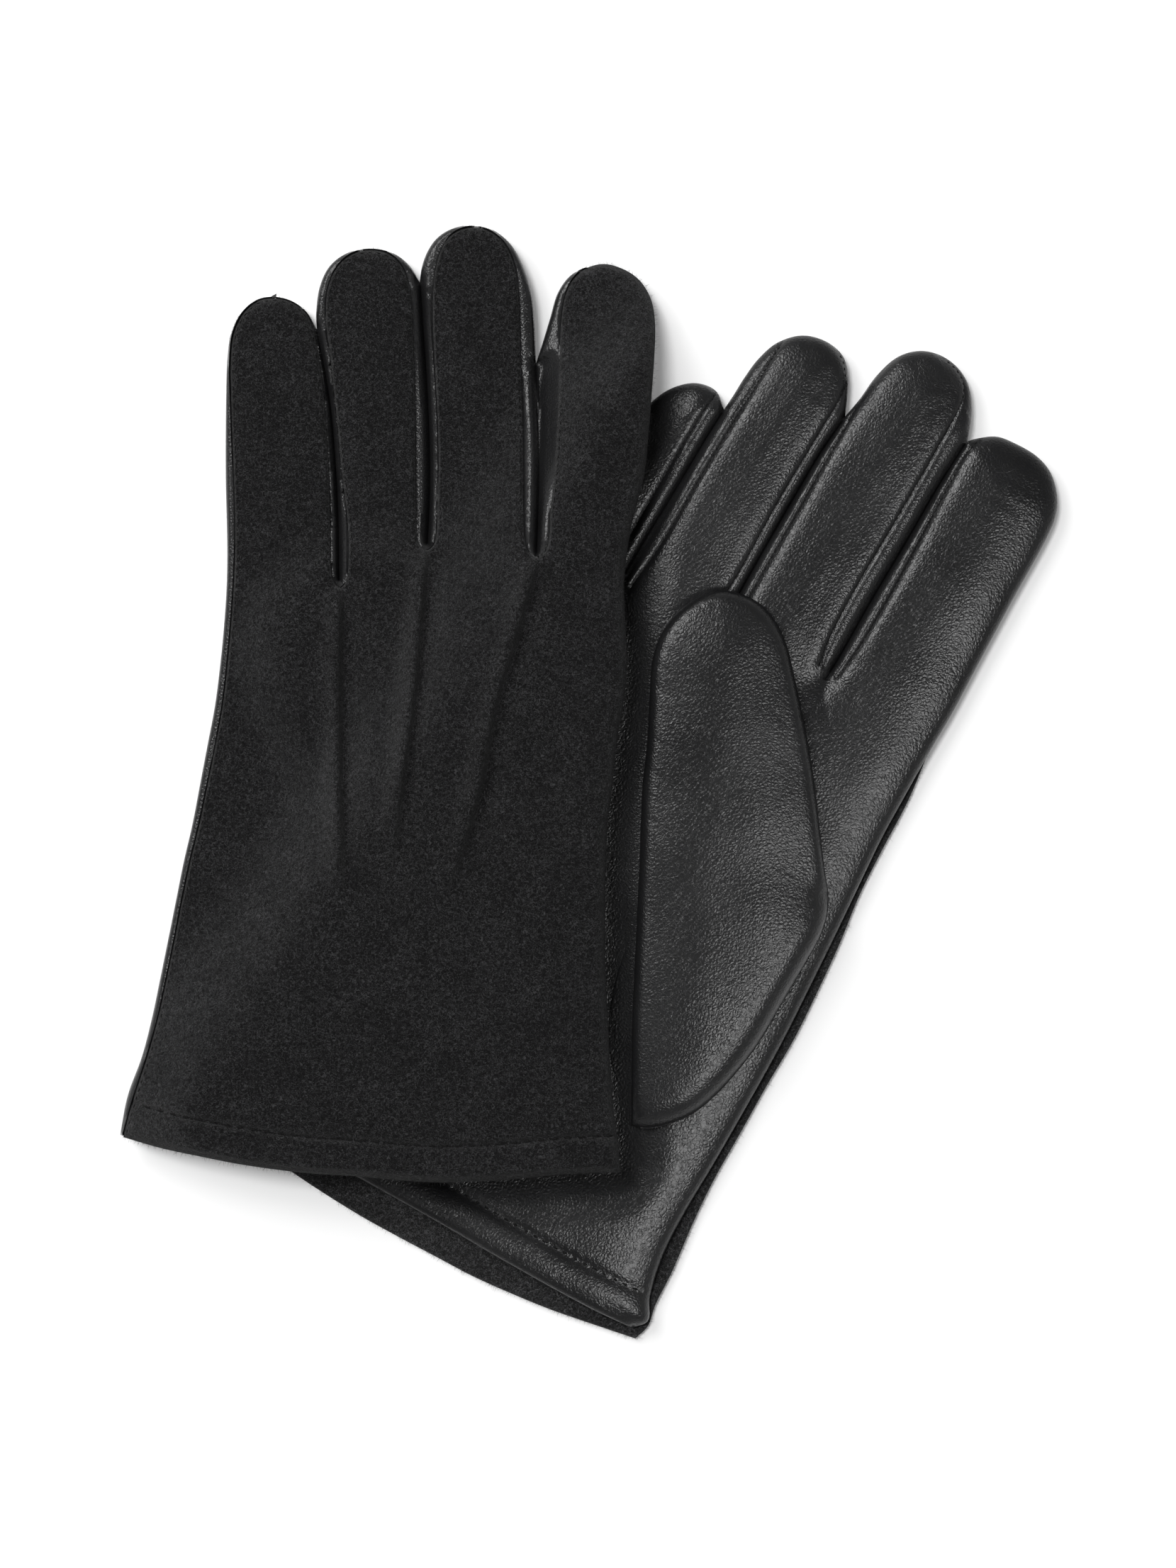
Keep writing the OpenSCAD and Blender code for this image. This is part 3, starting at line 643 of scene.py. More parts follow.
stitchSizes = {  # length, pitch and radius
    "rightHem": (2.0, 2.9, 0.3), "rightSeam": (1.0, 1.7, 0.13),
    "leftHem": (2.3, 3.5, 0.3), "leftPoint": (1.3, 2.4, 0.24), "leftSeam": (1.2, 2.2, 0.15),
}


def stitchesAlong(kind, letter, line, heightOf, bodyName):
    # each stitch is a small eight-sided bar whose ends dip below the surface
    length, pitch, radius = stitchSizes[kind]
    path = along(line, 0.1)
    walked = np.arange(len(path)) * 0.1
    corners, faces = [], []
    for start in np.arange(0.6, walked[-1] - length, pitch):
        rings = []
        for t in (0, 0.12, 0.32, 0.5, 0.68, 0.88, 1):
            i = int(round((start + t * length) / 0.1))
            x, y = path[i]
            dx, dy = path[min(i + 1, len(path) - 1)] - path[i - 1]
            size = math.hypot(dx, dy)
            r = radius * max(0.12, math.sqrt(max(0.0, 1 - (2 * t - 1) ** 4)))
            rings.append((x, y, -dy / size, dx / size, r, 0.10 - 0.42 * (2 * t - 1) ** 2))
        base = heightOf(np.array([(r[0], r[1]) for r in rings]))
        first = len(corners)
        for (x, y, nx, ny, r, lift), z in zip(rings, base):
            for k in range(8):
                turn = k * math.pi / 4
                corners.append((x + nx * r * math.cos(turn), y + ny * r * math.cos(turn),
                                z + lift + r * math.sin(turn)))
        for j in range(len(rings) - 1):
            for k in range(8):
                a, b = first + j * 8 + k, first + j * 8 + (k + 1) % 8
                faces.append((a, b, b + 8, a + 8))
        faces.append(tuple(first + k for k in range(7, -1, -1)))
        faces.append(tuple(first + (len(rings) - 1) * 8 + k for k in range(8)))
    return newPiece(kind + "Stitches" + letter, np.array(corners), faces, thread, bodyName)


def thumbOn(name, thumb, part, lines, nodes, material, creases=(), sink=None):
    # one closed piece, full over the thumb and down to its edge along the sides
    ring, sideLine, baseLine = lines
    floor, edge, inset = (thumb[part][key] for key in ("floor", "edge", "inset"))
    sideRound, baseRound = thumb["sideRound"], thumb["baseRound"]
    flat, faces = patchOf(ring, 1.0)
    sideGap, _ = nearest(flat, sideLine)
    baseGap, _ = nearest(flat, baseLine)
    sideGap, baseGap = np.maximum(sideGap - inset, 0), np.maximum(baseGap - inset, 0)
    full = 0.4 * crowned(sideGap, sideRound * 0.26) + 0.6 * crowned(sideGap, sideRound * 2.4)
    full *= 0.5 * crowned(baseGap, baseRound * 0.5) + 0.5 * crowned(baseGap, baseRound * 2)
    rim = edge * crowned(baseGap, 9)
    crown = 0.5 * smooth(sideGap, 4, 20) - 0.5
    top = floor + rim + (thumb[part]["height"] - rim + crown) * full + 0.12 * unevenness(flat, 30, 5) * full
    top -= 0.4 * creased(flat, creases) * np.minimum(full * 1.6, 1)
    bottom = floor + rim * (1 - crowned(sideGap, 4.5)) + 0.05
    top = np.maximum(top, bottom + 0.02)
    if "flip" in thumb:
        top, bottom, faces = thumb["flip"] - top, thumb["flip"] - bottom, faces[:, ::-1]
    if sink is not None:
        top, bottom = top - sink(flat), bottom - sink(flat)
    keep = faces[(sideGap[faces].min(1) > 0) | (inset == 0)]
    corners, shell = closedShell(flat, keep, top, bottom)
    return newPiece(name, corners, shell, material, None, nodes)


def sewTogether(side, body, top, bottom, upper, lower, palmMaterial, shape, linings):
    # the palm (0) and the three strips between the fingers (1 to 3) share one set of corners; upper and lower
    # say which of them each face of the patch belongs to, above and below
    corners, under = twoSided(body, top, bottom)
    flipped = under[body["faces"][:, ::-1]]
    for k, (name, node) in enumerate((("Palm", "palm_panel"), ("StripLittleRing", "fourchette_little_ring"),
                                      ("StripRingMiddle", "fourchette_ring_middle"),
                                      ("StripMiddleIndex", "fourchette_middle_index"))):
        faces = body["faces"][upper == k].tolist() + flipped[lower == k].tolist()
        material = palmMaterial if k == 0 else stripLeather
        piece = newPiece(side + name, corners, faces, material, side + "_glove",
                         [side + "_" + node])
        thickened(piece, shape["thickness"] if k == 0 else shape["stripThickness"])
    inner = body["depth"][body["faces"]].min(1) > shape["liningFromRim"]
    inner &= body["hemGap"][body["faces"]].min(1) > shape["liningFromHem"]
    for name, node, z, reverse in linings:
        sheet = body["faces"][inner][:, ::-1] if reverse else body["faces"][inner]
        lining = newPiece(side + name, np.column_stack([body["flat"], z]), sheet.tolist(), knit,
                          side + "_glove", [side + "_" + node])
        thickened(lining, shape["liningThickness"])


def facesOf(body):
    # how deep each face lies, and 0 or the number of the gap between fingers it lies nearest to
    zone = np.median(body["zone"][body["faces"]], axis=1)
    return body["depth"][body["faces"]].max(1), np.where((zone < 0.5) | (zone > 3.5), 0, zone)


print("gloves: building the right glove")
right = rightGlove
seamLines = [curveThrough(seam, 0.7) for seam in right["seams"]]
rightLoop, _ = ringOf(right["outline"])
body = bodyOf(right, rowsBeside(seamLines, rightLoop, (0, -0.45, 0.45, -1.0, 1.0)))
gapRings = [np.vstack([seamLines[k], seamLines[k + 1]]) for k in (0, 2, 4)]

# each crease: from x, y to x, y, then its depth and width
rightCreases = [
    (62, 26, 55, 17, 0.28, 0.9), (60, 25, 61, 14, 0.2, 0.8), (63, 28, 70, 20, 0.22, 1.0),
    (66, 33, 73, 29, 0.2, 0.8), (37, 46, 33, 38, 0.4, 0.9), (8, 50, 3, 40, 0.4, 1.0),
    (80, 98, 92, 103, 0.16, 0.7), (78, 95, 90, 99, 0.14, 0.6), (76, 91, 86, 97, 0.12, 0.6),
    (82, 101, 93, 107, 0.14, 0.6), (84, 94, 94, 98, 0.1, 0.6), (104, 80, 116, 74, 0.12, 0.9),
    (101, 75, 113, 68, 0.1, 0.9), (23, 92, 30, 86, 0.12, 0.7),
]
palmShape = {
    "rimShare": 0.14, "rimReach": 2.2, "fingerShare": 0.66, "fingerReach": 15,
    "palmShare": 0.2, "palmReach": 40,
    "crown": 0.3, "seamDepth": 0.4, "seamWidth": 0.38, "stripRoll": 0.85, "besideStrip": 0.25,
    "pressedBy": 2.4, "pressedReach": 16,
    "edgeDrop": 1.3, "hemGroove": 0.7, "hemRoll": 0.5, "pucker": 0.3, "puckerPitch": 2.9,
    "wall": 3.2, "thickness": 1.1, "stripThickness": 0.9,
    "liningThickness": 0.5, "liningFromRim": 1.7, "liningFromHem": 8.5,
}
leftCover = ringOf(leftGlove["outline"])[0]
hemAlong, hemInwards = np.array([0.875, -0.485]), np.array([0.485, 0.875])


def pressed(spots):
    # the left glove lies on this one and presses it down
    beside, _ = nearest(spots, leftCover, True)
    beside[isInside(spots, leftCover)] = 0
    return palmShape["pressedBy"] * smooth(-beside, -palmShape["pressedReach"], 0)


def palmTop(spots):
    depth = rimGap(spots, body["side"], body["gaps"])
    hemGap, _ = nearest(spots, body["hem"])
    seamGap = np.min([nearest(spots, line)[0] for line in seamLines], axis=0)
    inGap = np.any([isInside(spots, ring) for ring in gapRings], axis=0)
    shape = palmShape
    rise = sum(shape[part + "Share"] * crowned(depth, shape[part + "Reach"])
               for part in ("rim", "finger", "palm"))
    z = right["middle"] + (right["up"] + shape["crown"]) * rise
    z -= shape["seamDepth"] * np.exp(-(seamGap / shape["seamWidth"]) ** 2) * rise
    toLine = np.min([nearest(spots, line)[0] for line in body["gaps"]], axis=0)
    roll = np.sin(math.pi * np.clip(seamGap / np.maximum(seamGap + toLine, 0.1), 0, 1))
    z += np.where(inGap, shape["stripRoll"] * roll * smooth(seamGap + toLine, 0.8, 3.5),
                  shape["besideStrip"] * smooth(seamGap, 0, 1.0) * smooth(-seamGap, -7, -2))
    z += 0.2 * unevenness(spots, 36, 3) * rise + 0.03 * unevenness(spots, 12, 4) * rise
    z -= pressed(spots) * rise
    z -= creased(spots, rightCreases)
    z -= shape["edgeDrop"] * (1 - crowned(hemGap, 1.8)) * rise
    z -= shape["hemGroove"] * np.exp(-((hemGap - right["hemFold"]) / 0.7) ** 2) * rise
    pucker = 0.5 + 0.5 * np.cos(2 * math.pi * (spots @ hemAlong) / shape["puckerPitch"])
    z -= shape["pucker"] * pucker * np.exp(-((hemGap - right["hemFold"] + 0.5) / 1.3) ** 2) * rise
    z += shape["hemRoll"] * np.exp(-((hemGap - 4.6) / 3.0) ** 2) * rise
    return z


def palmBottom(spots):
    depth = rimGap(spots, body["side"], body["gaps"])
    return right["middle"] - right["down"] * crowned(depth, 4.5)


top, bottom = palmTop(body["flat"]), palmBottom(body["flat"])
middles = body["flat"][body["faces"]].mean(1)
upper = np.zeros(len(middles), int)
for k, ring in enumerate(gapRings):
    upper[isInside(middles, ring)] = k + 1
faceDepth, faceZone = facesOf(body)
lower = np.where(faceDepth < palmShape["wall"], faceZone, -1)
sewTogether("right", body, top, bottom, upper, lower, leather, palmShape,
            (("LiningPalm", "lining_palm", top - 1.5, False),
             ("LiningBack", "lining_back", np.full(len(top), 2.75), True)))

backShape = {"floor": 0.15, "edgeLift": 1.1, "edgeReach": 4, "wave": 0.12, "waveSize": 24,
             "edgeThickness": 0.9, "fullness": 1.05}  # face down on the table
feltRing, _ = ringOf(right["felt"])
flat, faces = patchOf(feltRing, 1.3)
feltGap, _ = nearest(flat, feltRing, True)
feltLow = backShape["floor"] + backShape["edgeLift"] * (1 - crowned(feltGap, backShape["edgeReach"]))
waves = 1 + unevenness(flat, backShape["waveSize"], 8)
feltLow = feltLow + backShape["wave"] * waves * smooth(feltGap, 3, 9)
feltHigh = feltLow + backShape["edgeThickness"] + backShape["fullness"] * crowned(feltGap, 1.0)
corners, shell = closedShell(flat, faces, feltHigh, feltLow)
# the right back wears the lighter copy of the wool: painted light on its shaded edge
newPiece("rightBack", corners, shell, underFelt, "right_glove", ["right_back_panel"])

hemStitches = body["hem"] + hemInwards * right["hemFold"]
hemStitches = hemStitches[isInside(hemStitches, body["loop"])]
stitchesAlong("rightHem", "", curveThrough(hemStitches[2::6]), palmTop, "right_glove")
for k, line in enumerate(seamLines):
    inside = line[isInside(line, body["loop"]) & (nearest(line, body["side"])[0] > 0.6)]
    stitchesAlong("rightSeam", "ABCDEF"[k], inside, palmTop, "right_glove")

print("gloves: right thumb")
sideLine = curveThrough([rightThumb["base"][-1]] + rightThumb["side"], 0.8)
baseLine = curveThrough([rightThumb["side"][-1]] + rightThumb["base"], 0.8)
thumbLoop = np.vstack([sideLine[:-1], baseLine[:-1]])
thumbCreases = [
    (16, 36, 24, 31, 0.28, 0.7), (17.5, 40, 26, 35, 0.22, 0.7), (16.4, 31, 22, 27, 0.25, 0.7),
    (15.8, 26, 21, 22, 0.25, 0.8), (20, 44, 27, 40, 0.2, 0.6), (26, 47, 34, 42, 0.16, 0.7),
    (31, 46, 41, 43, 0.16, 0.7), (15, 12, 22, 8, 0.22, 0.9), (14.6, 4, 20, 0, 0.2, 0.9),
    (14, -8, 20, -13, 0.18, 0.9), (43, 44, 50, 36, 0.15, 0.8), (46, 20, 53, 12, 0.14, 0.9),
    (48, 8, 56, 0, 0.12, 1.0),
]


def joinThumb(piece):
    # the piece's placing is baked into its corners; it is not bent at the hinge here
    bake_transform(piece)


thumbLines = (thumbLoop, sideLine, baseLine)
for name, part, node, material, creases in (("rightThumb", "leather", "right_thumb", leather, thumbCreases),
                                            ("rightThumbLining", "lining", "right_thumb_lining", knit, ())):
    piece = thumbOn(name, rightThumb, part, thumbLines, [node + "_front", node + "_back"], material, creases)
    joinThumb(piece)


def gussetOn(name, node, level, bodyName, lift, sink=None):
    # the leather set into the thumb hole, which shows when the thumb folds out
    solid = bpy.data.objects[node].data
    spots = np.array([v.co[:] for v in solid.vertices]) / mm
    cap = [p for p in solid.polygons if all(abs(spots[i][2] - level) < 0.02 for i in p.vertices)]
    edges = {}
    for p in cap:
        ids = [tuple(np.round(spots[i][:2], 3)) for i in p.vertices]
        for a, b in zip(ids, ids[1:] + ids[:1]):
            if a != b:
                edges[(a, b)] = True
    onward = {a: b for a, b in edges if (b, a) not in edges}
    loops = []
    while onward:
        start = next(iter(onward))
        loop = [start]
        while loop[-1] in onward:
            loop.append(onward.pop(loop[-1]))
        loops.append(loop[:-1])
    ring = np.array(max(loops, key=len))
    ring = along(np.vstack([ring, ring[:1]]), 1.0)[:-1]
    flat, faces = patchOf(ring, 1.3, (0.15, 0.45, 0.9, 1.6))
    gap, _ = nearest(flat, ring, True)
    puff = 0.35 * crowned(gap, 2.2) + 0.06 * unevenness(flat, 14, 21)
    sunk = sink(flat) if sink else np.zeros(len(flat))
    near, far = level + lift * (0.1 + puff) - sunk, level - lift * 0.6 - sunk
    if lift < 0:
        near, far = far, near
    corners, shell = closedShell(flat, faces, near, far)
    return newPiece(name, corners, shell, leather, bodyName, [node])


gussetOn("rightGusset", "right_thumb_gusset", 9.2, "right_glove", 0.25, pressed)
print("gloves: building the left glove")
left = leftGlove
pointLines = [curveThrough(line, 1.0) for line in left["points"]]
feltLoop, feltStarts = ringOf(left["felt"])
feltSides = [feltLoop[feltStarts[k]:feltStarts[k + 1]] for k in (0, 2, 4, 6)]
leftBody = bodyOf(left, rowsBeside(feltSides, ringOf(left["outline"])[0], (0.3, -0.25, -0.8, -1.4), 0.35))
feltHem = np.vstack([feltLoop[feltStarts[-2]:], feltLoop[:1]])
leatherShape = {
    "rollAt": 0.72, "rollDrop": 0.16, "rollReach": 2.6, "wallShare": 0.62, "wallReach": 0.7,
    "indexRoll": 0.86, "underFelt": 0.75, "topReach": 7, "wall": 3.2, "thickness": 1.1, "stripThickness": 0.9,
    "liningThickness": 0.5, "liningFromRim": 2.2, "liningFromHem": 8,
}
feltShape = {
    "drop": 0.9, "edgeShare": 0.72, "edgeReach": 3.2, "bodyReach": 13, "lip": 0.8, "lipReach": 0.9,
    "wave": 0.22, "waveSize": 34, "ripple": 0.06, "rippleSize": 8, "hemGroove": 1.0, "hemRoll": 0.4,
    "pointHeight": 2.2, "pointSlope": 3.6, "pointSteep": 0.7,
    "valley": 1.4, "valleyAt": 1.6, "valleyNear": 1.1, "valleyFar": 4.5, "thinnest": 0.7,
}


def leatherTop(spots):
    # beside the felt the leather is a soft roll, and under the felt it lies a little lower
    depth = rimGap(spots, leftBody["side"], leftBody["gaps"])
    depth = np.where(isInside(spots, leftBody["loop"]), depth, 0)
    toFelt, _ = nearest(spots, feltLoop, True)
    toFelt[isInside(spots, feltLoop)] = 0
    across = depth / np.maximum(depth + toFelt, 0.05)
    shape, rollAt = leatherShape, leatherShape["rollAt"]
    roll = crowned(across, rollAt) - shape["rollDrop"] * np.maximum(0, (across - rollAt) / (1 - rollAt)) ** 2
    toSide, _ = nearest(spots, leftBody["side"])
    between = np.min([nearest(spots, line)[0] for line in leftBody["gaps"]], axis=0)
    outside = smooth(between - toSide, 0, 3)
    wall = shape["wallShare"] * crowned(depth, shape["wallReach"]) + (1 - shape["wallShare"]) * roll
    indexSide = smooth(spots[:, 0], -13.2, -12.4) * smooth(spots[:, 1], 66, 88) * smooth(-spots[:, 0], -2, 0)
    roll = (1 - indexSide) * roll + indexSide * shape["indexRoll"] * across ** 1.3
    roll = outside * wall + (1 - outside) * roll * crowned(depth, shape["rollReach"])
    z = left["middle"] + left["up"] * roll - settled(spots)
    hidden = isInside(spots, feltLoop)
    z[hidden] = np.minimum(z[hidden], feltTop(spots[hidden]) - shape["underFelt"])
    return z


def feltTop(spots):
    depth = rimGap(spots, leftBody["side"], leftBody["gaps"])
    depth = np.where(isInside(spots, leftBody["loop"]), depth, 0)
    gap, _ = nearest(spots, feltLoop, True)
    hemGap, _ = nearest(spots, feltHem)
    depth = np.maximum(depth, gap)
    shape = feltShape
    rise = shape["edgeShare"] * crowned(depth + 0.3, shape["edgeReach"])
    rise = rise + (1 - shape["edgeShare"]) * crowned(depth, shape["bodyReach"])
    z = left["middle"] - shape["drop"] + (left["up"] + shape["drop"]) * rise
    z = z + shape["lip"] * crowned(gap, shape["lipReach"])
    waves = shape["wave"] * unevenness(spots, shape["waveSize"], 12)
    z += (waves + shape["ripple"] * unevenness(spots, shape["rippleSize"], 15)) * smooth(gap, 1, 7)
    z -= shape["hemGroove"] * np.exp(-((hemGap - left["hemFold"]) / 0.8) ** 2)
    z += shape["hemRoll"] * np.exp(-((hemGap - 4.5) / 3) ** 2)
    for line in pointLines:
        away, index = nearest(spots, line)
        ahead = np.gradient(line, axis=0)[index]
        offset = spots - line[index]
        sideways = np.sign(ahead[:, 0] * offset[:, 1] - ahead[:, 1] * offset[:, 0]) * away
        t = index / (len(line) - 1)
        ends = smooth(t, -0.06, 0.1) * (1 - 0.75 * smooth(t, 0.72, 1.02))
        ends *= np.where((index == 0) | (index == len(line) - 1), np.exp(-(away / 1.3) ** 2), 1)
        ridge = np.exp(-(np.maximum(sideways, 0) / shape["pointSteep"]) ** 2
                       - (np.maximum(-sideways, 0) / shape["pointSlope"]) ** 2)
        beyond = sideways - shape["valleyAt"]
        valley = np.exp(-(np.maximum(-beyond, 0) / shape["valleyNear"]) ** 2
                        - (np.maximum(beyond, 0) / shape["valleyFar"]) ** 2)
        z += ends * (shape["pointHeight"] * ridge - shape["valley"] * valley)
    return z - settled(spots)


top = leatherTop(leftBody["flat"])
bottom = left["middle"] - left["down"] * crowned(leftBody["depth"], 4.5) - settled(leftBody["flat"])
faceDepth, faceZone = facesOf(leftBody)
upper = np.where(faceDepth < leatherShape["topReach"], faceZone, -1)
lower = np.where(faceDepth < leatherShape["wall"], faceZone, 0)
sewTogether("left", leftBody, top, bottom, upper, lower, stripLeather, leatherShape,
            (("LiningBack", "lining_back", top - 1.9, False),
             ("LiningPalm", "lining_palm", bottom + 1.3, True)))

hemMiddle = curveThrough([feltHem[i] for i in range(0, len(feltHem), 8)] + [feltHem[-1]])
across = np.gradient(hemMiddle, axis=0)
across = np.column_stack([-across[:, 1], across[:, 0]]) / np.linalg.norm(across, axis=1)[:, None]
hemRow = hemMiddle + across * (-left["hemFold"])
hemRow = hemRow[isInside(hemRow, feltLoop)]
# the mesh follows the points and the hem's groove in rows of its own
beside = (-4.6, -3.4, -2.5, -1.7, -1, -0.4, 0, 0.4, 0.9, 1.6, 2.5, 3.6)
rows = rowsBeside(pointLines, feltLoop, beside, 0.42)
rows += rowsBeside([hemRow], feltLoop, (-1.7, -1, -0.45, 0, 0.45, 1, 1.7), 0.42)
flat, faces = patchOf(feltLoop, 1.15, (0.12, 0.35, 0.7, 1.2, 1.9, 2.8), rows)
high = feltTop(flat)
low = np.minimum(leatherTop(flat) - 0.5, high - feltShape["thinnest"])
corners, shell = closedShell(flat, faces, high, low)
newPiece("leftBack", corners, shell, felt, "left_glove", ["left_back_panel"])

print("gloves: left thumb, under the palm")
sideCount = len(curveThrough(rightThumb["side"]))
leftSide = np.vstack([leftThumbRing[-1:], leftThumbRing[:sideCount]])
leftBase = np.vstack([leftThumbRing[sideCount - 1:sideCount], leftThumbRing[sideCount:]])
thumbLines = (leftThumbRing, leftSide, leftBase)
for name, part, node, material in (("leftThumb", "leather", "left_thumb", leather),
                                   ("leftThumbLining", "lining", "left_thumb_lining", knit)):
    piece = thumbOn(name, leftThumb, part, thumbLines, [node + "_front", node + "_back"], material,
                    sink=settled)
    joinThumb(piece)
gussetOn("leftGusset", "left_thumb_gusset", 15.0, "left_glove", -0.2, settled)

print("gloves: stitches and loose fibres")
stitchesAlong("leftHem", "", hemRow, feltTop, "left_glove")
for k, line in enumerate(pointLines):
    tail = line[int(len(line) * 0.55):] + (1.5, 0.1)
    stitchesAlong("leftPoint", "ABC"[k], tail, feltTop, "left_glove")


looseWool = {
    "edgePerMm": 6.0, "leftEdgeLengths": (0.5, 1.6), "leftEdgeDrop": 1.4,
    "rightEdgeLengths": (0.5, 1.5), "rightEdgeDrop": 1.5, "rightEdgeHeight": 2.2, "edgeRadius": 0.028,
    "napCount": 9000, "napLengths": (0.5, 1.4), "napRadius": 0.024,
}


def fringe(name, bodyName, loop, heightOf, lengths, drop):
    # loose fibres that stand out from the edge of a felt panel
    line = along(np.vstack([loop, loop[:1]]), 1.0)[:-1]
    rootAt = rng.integers(0, len(line), int(len(line) * looseWool["edgePerMm"]))
    ahead = np.roll(line, -1, axis=0)[rootAt] - np.roll(line, 1, axis=0)[rootAt]
    outward = np.column_stack([ahead[:, 1], -ahead[:, 0]])
    area = 0.5 * np.sum(line[:, 0] * np.roll(line[:, 1], -1) - np.roll(line[:, 0], -1) * line[:, 1])
    outward *= (1 if area > 0 else -1) / np.linalg.norm(ahead, axis=1)[:, None]
    spots = line[rootAt] + ahead * rng.uniform(-0.5, 0.5, len(rootAt))[:, None] * 0.5
    spots -= outward * rng.uniform(0.1, 0.8, len(rootAt))[:, None]
    z = heightOf(spots) - rng.uniform(0.05, drop, len(rootAt))
    ways = np.column_stack([outward + rng.normal(size=outward.shape) * 0.75,
                            rng.normal(size=len(z)) * 0.5 + 0.15])
    sizes = rng.uniform(*lengths, len(z))
    return hairsOn(name, np.column_stack([spots, z]), ways, sizes, looseWool["edgeRadius"], bodyName)


def nap(name, bodyName, loop, heightOf, howMany, lengths):
    # short fibres that lie over the face of a felt panel
    low, high = loop.min(0), loop.max(0)
    spots = rng.uniform(low, high, (howMany * 2, 2))
    spots = spots[isInside(spots, loop)]
    spots = spots[nearest(spots, loop, True)[0] > 0.8][:howMany]
    z = heightOf(spots) - 0.04
    ways = np.column_stack([rng.normal(size=(len(z), 2)), rng.uniform(0.12, 0.5, len(z))])
    sizes = rng.uniform(*lengths, len(z))
    return hairsOn(name, np.column_stack([spots, z]), ways, sizes, looseWool["napRadius"], bodyName)


seamRows = [feltLoop[feltStarts[k]:feltStarts[k + 1]] for k in (0, 2, 4)]
seamRows.append(feltLoop[feltStarts[6]:feltStarts[6] + 42])
for k, line in enumerate(seamRows):
    turnIn = np.gradient(line, axis=0)
    turnIn = np.column_stack([turnIn[:, 1], -turnIn[:, 0]]) / np.linalg.norm(turnIn, axis=1)[:, None]
    row = line + turnIn * 0.75
    row = row[isInside(row, feltLoop)]
    stitchesAlong("leftSeam", "ABCD"[k], row, feltTop, "left_glove")

def rightEdgeHeight(spots):
    return np.full(len(spots), looseWool["rightEdgeHeight"])


fringe("leftEdgeFibres", "left_glove", feltLoop, feltTop, looseWool["leftEdgeLengths"],
       looseWool["leftEdgeDrop"])
nap("leftNap", "left_glove", feltLoop, feltTop, looseWool["napCount"], looseWool["napLengths"])
fringe("rightEdgeFibres", "right_glove", feltRing, rightEdgeHeight, looseWool["rightEdgeLengths"],
       looseWool["rightEdgeDrop"])

print("gloves: light, floor and camera")
stage = {
    "keyAt": (-0.72, 0.66, 1.15), "keySize": 0.65, "keyPower": 14.0,
    "sideAt": (0.37, -0.34, 0.95), "sideAim": (0.03, -0.03, 0), "sideSize": 0.42, "sidePower": 5.4,
    "sunFrom": (-0.22, 0.2, 1), "sunLevel": 2.5, "sunAngle": 15,
    "worldLevel": 0.13, "ringLevel": 0.5, "floorColour": 0.64, "floorGlow": 0.18,
    "lens": 135.0, "filmHeight": 36.0, "viewHeight": 0.4037, "focusHeight": 0.007,
}


def lamp(name, spot, aim, size, power):
    light = bpy.data.lights.new(name, "AREA")
    light.shape, light.size, light.energy = "SQUARE", size, power
    holder = bpy.data.objects.new(name, light)
    holder.location = spot
    holder.rotation_euler = (Vector(aim) - Vector(spot)).to_track_quat("-Z", "Y").to_euler()
    bpy.context.scene.collection.objects.link(holder)
    return holder


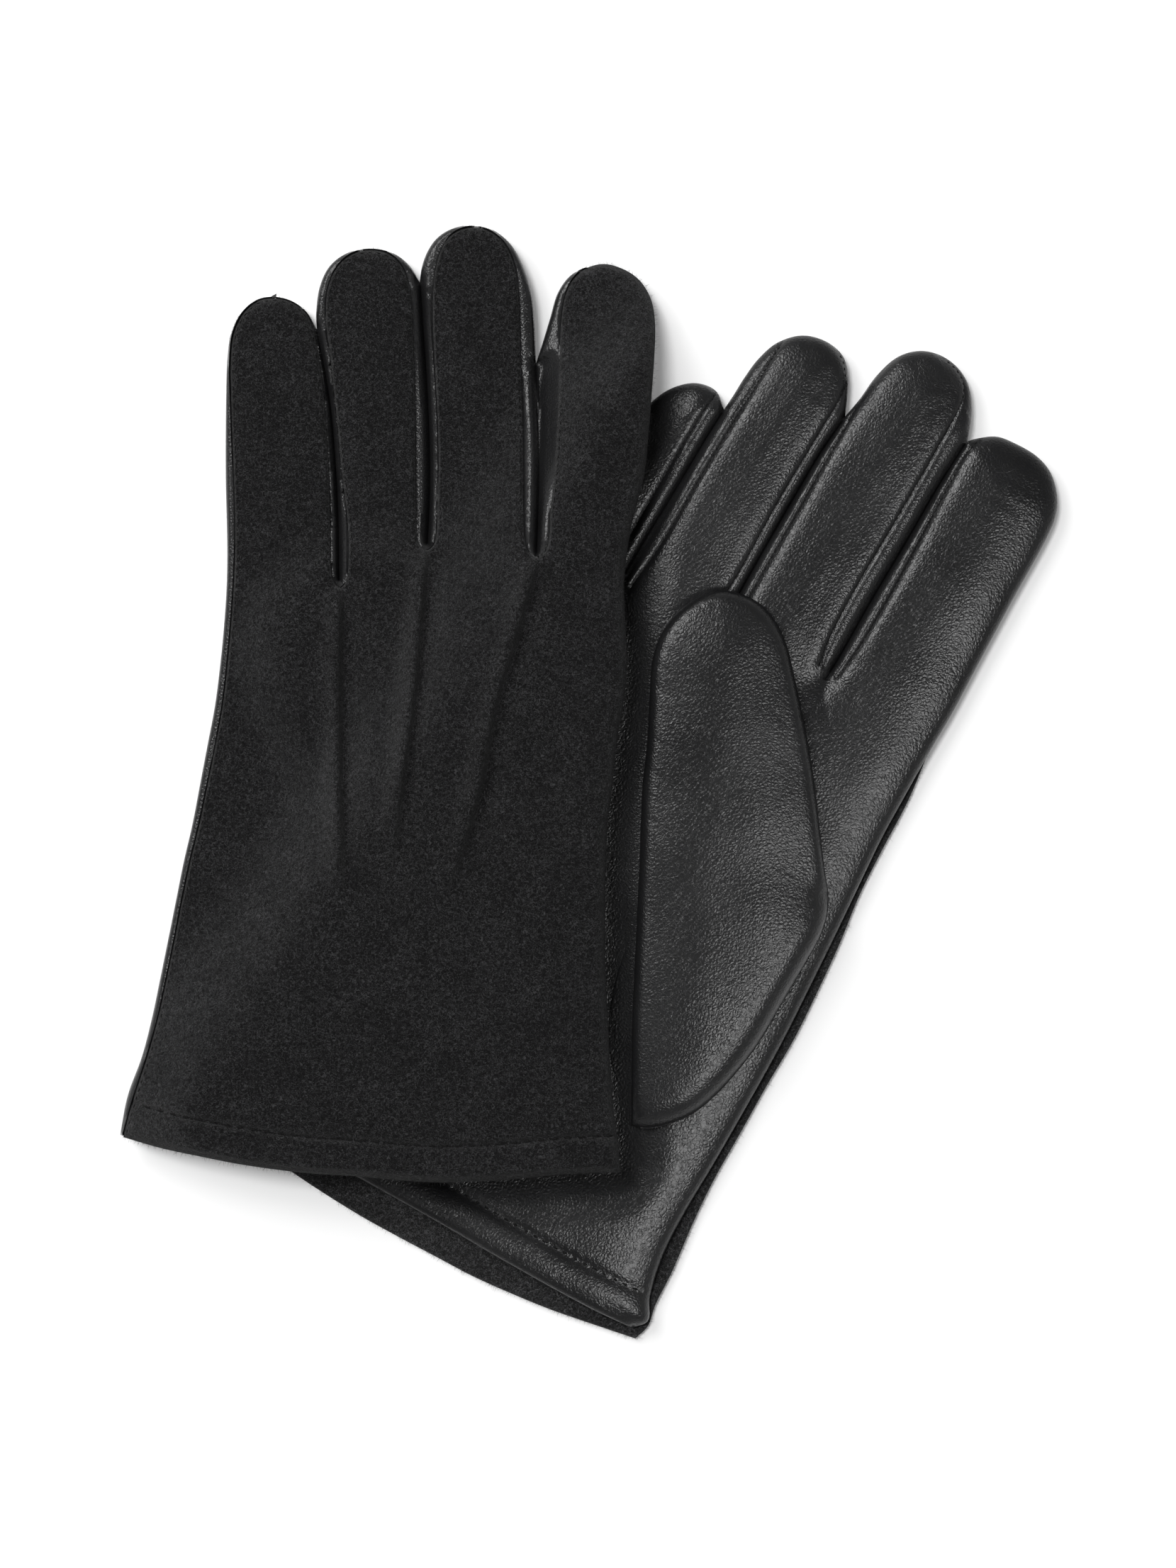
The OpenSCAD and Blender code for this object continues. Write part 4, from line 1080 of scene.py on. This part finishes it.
lamp("keyLamp", stage["keyAt"], (0, 0, 0), stage["keySize"], stage["keyPower"])
softBox = lamp("sideLamp", stage["sideAt"], stage["sideAim"], stage["sideSize"], stage["sidePower"])
softBox.visible_diffuse = False  # it only gives the leather its sheen
sun = bpy.data.lights.new("overheadSun", "SUN")
sun.energy, sun.angle = stage["sunLevel"], math.radians(stage["sunAngle"])
sunHolder = bpy.data.objects.new("overheadSun", sun)
sunHolder.rotation_euler = Vector(stage["sunFrom"]).to_track_quat("Z", "Y").to_euler()
sunHolder.visible_glossy = False
bpy.context.scene.collection.objects.link(sunHolder)

floorMesh = bpy.data.meshes.new("floor")
floorMesh.from_pydata([(-6, -6, 0), (6, -6, 0), (6, 6, 0), (-6, 6, 0)], [], [(0, 1, 2, 3)])
floor = bpy.data.objects.new("floor", floorMesh)
bpy.context.scene.collection.objects.link(floor)
pale = (stage["floorColour"],) * 3 + (1,)
floorMaterial, tree, shader, _ = newMaterial("paleFloor", Base_Color=pale, Roughness=1.0,
                                             Specular_IOR_Level=0.0)
path = tree.nodes.new("ShaderNodeLightPath")
seen = calc(tree, "ADD", calc(tree, "ADD", path.outputs["Is Camera Ray"], path.outputs["Is Glossy Ray"]),
            path.outputs["Is Transmission Ray"], clamp=True)
tree.links.new(calc(tree, "MULTIPLY", seen, stage["floorGlow"]), shader.inputs["Emission Strength"])
shader.inputs["Emission Color"].default_value = (1, 1, 1, 1)
floorMesh.materials.append(floorMaterial)

world = bpy.data.worlds.new("studio")
bpy.context.scene.world = world
world.use_nodes = True
tree = world.node_tree
sky = tree.nodes.new("ShaderNodeTexCoord")
split = addNode(tree, "ShaderNodeSeparateXYZ", {0: sky.outputs["Generated"]})
# low walls of light round the table, and a dimmer ceiling
walls = addNode(tree, "ShaderNodeMapRange", {"Value": split.outputs["Z"]}, in_From_Min=0.28, in_From_Max=0.75,
                in_To_Min=stage["ringLevel"], in_To_Max=stage["worldLevel"])
tree.links.new(walls.outputs[0], tree.nodes["Background"].inputs["Strength"])
tree.nodes["Background"].inputs["Color"].default_value = (1, 1, 1, 1)

camera = bpy.data.cameras.new("camera")
camera.lens, camera.sensor_fit, camera.sensor_height = stage["lens"], "VERTICAL", stage["filmHeight"]
camera.clip_start, camera.clip_end = 0.01, 50
eye = bpy.data.objects.new("camera", camera)
eye.location = (0, 0, stage["focusHeight"] + stage["viewHeight"] * stage["lens"] / stage["filmHeight"])
bpy.context.scene.collection.objects.link(eye)
bpy.context.scene.camera = eye
bpy.context.scene.view_settings.view_transform = "Standard"
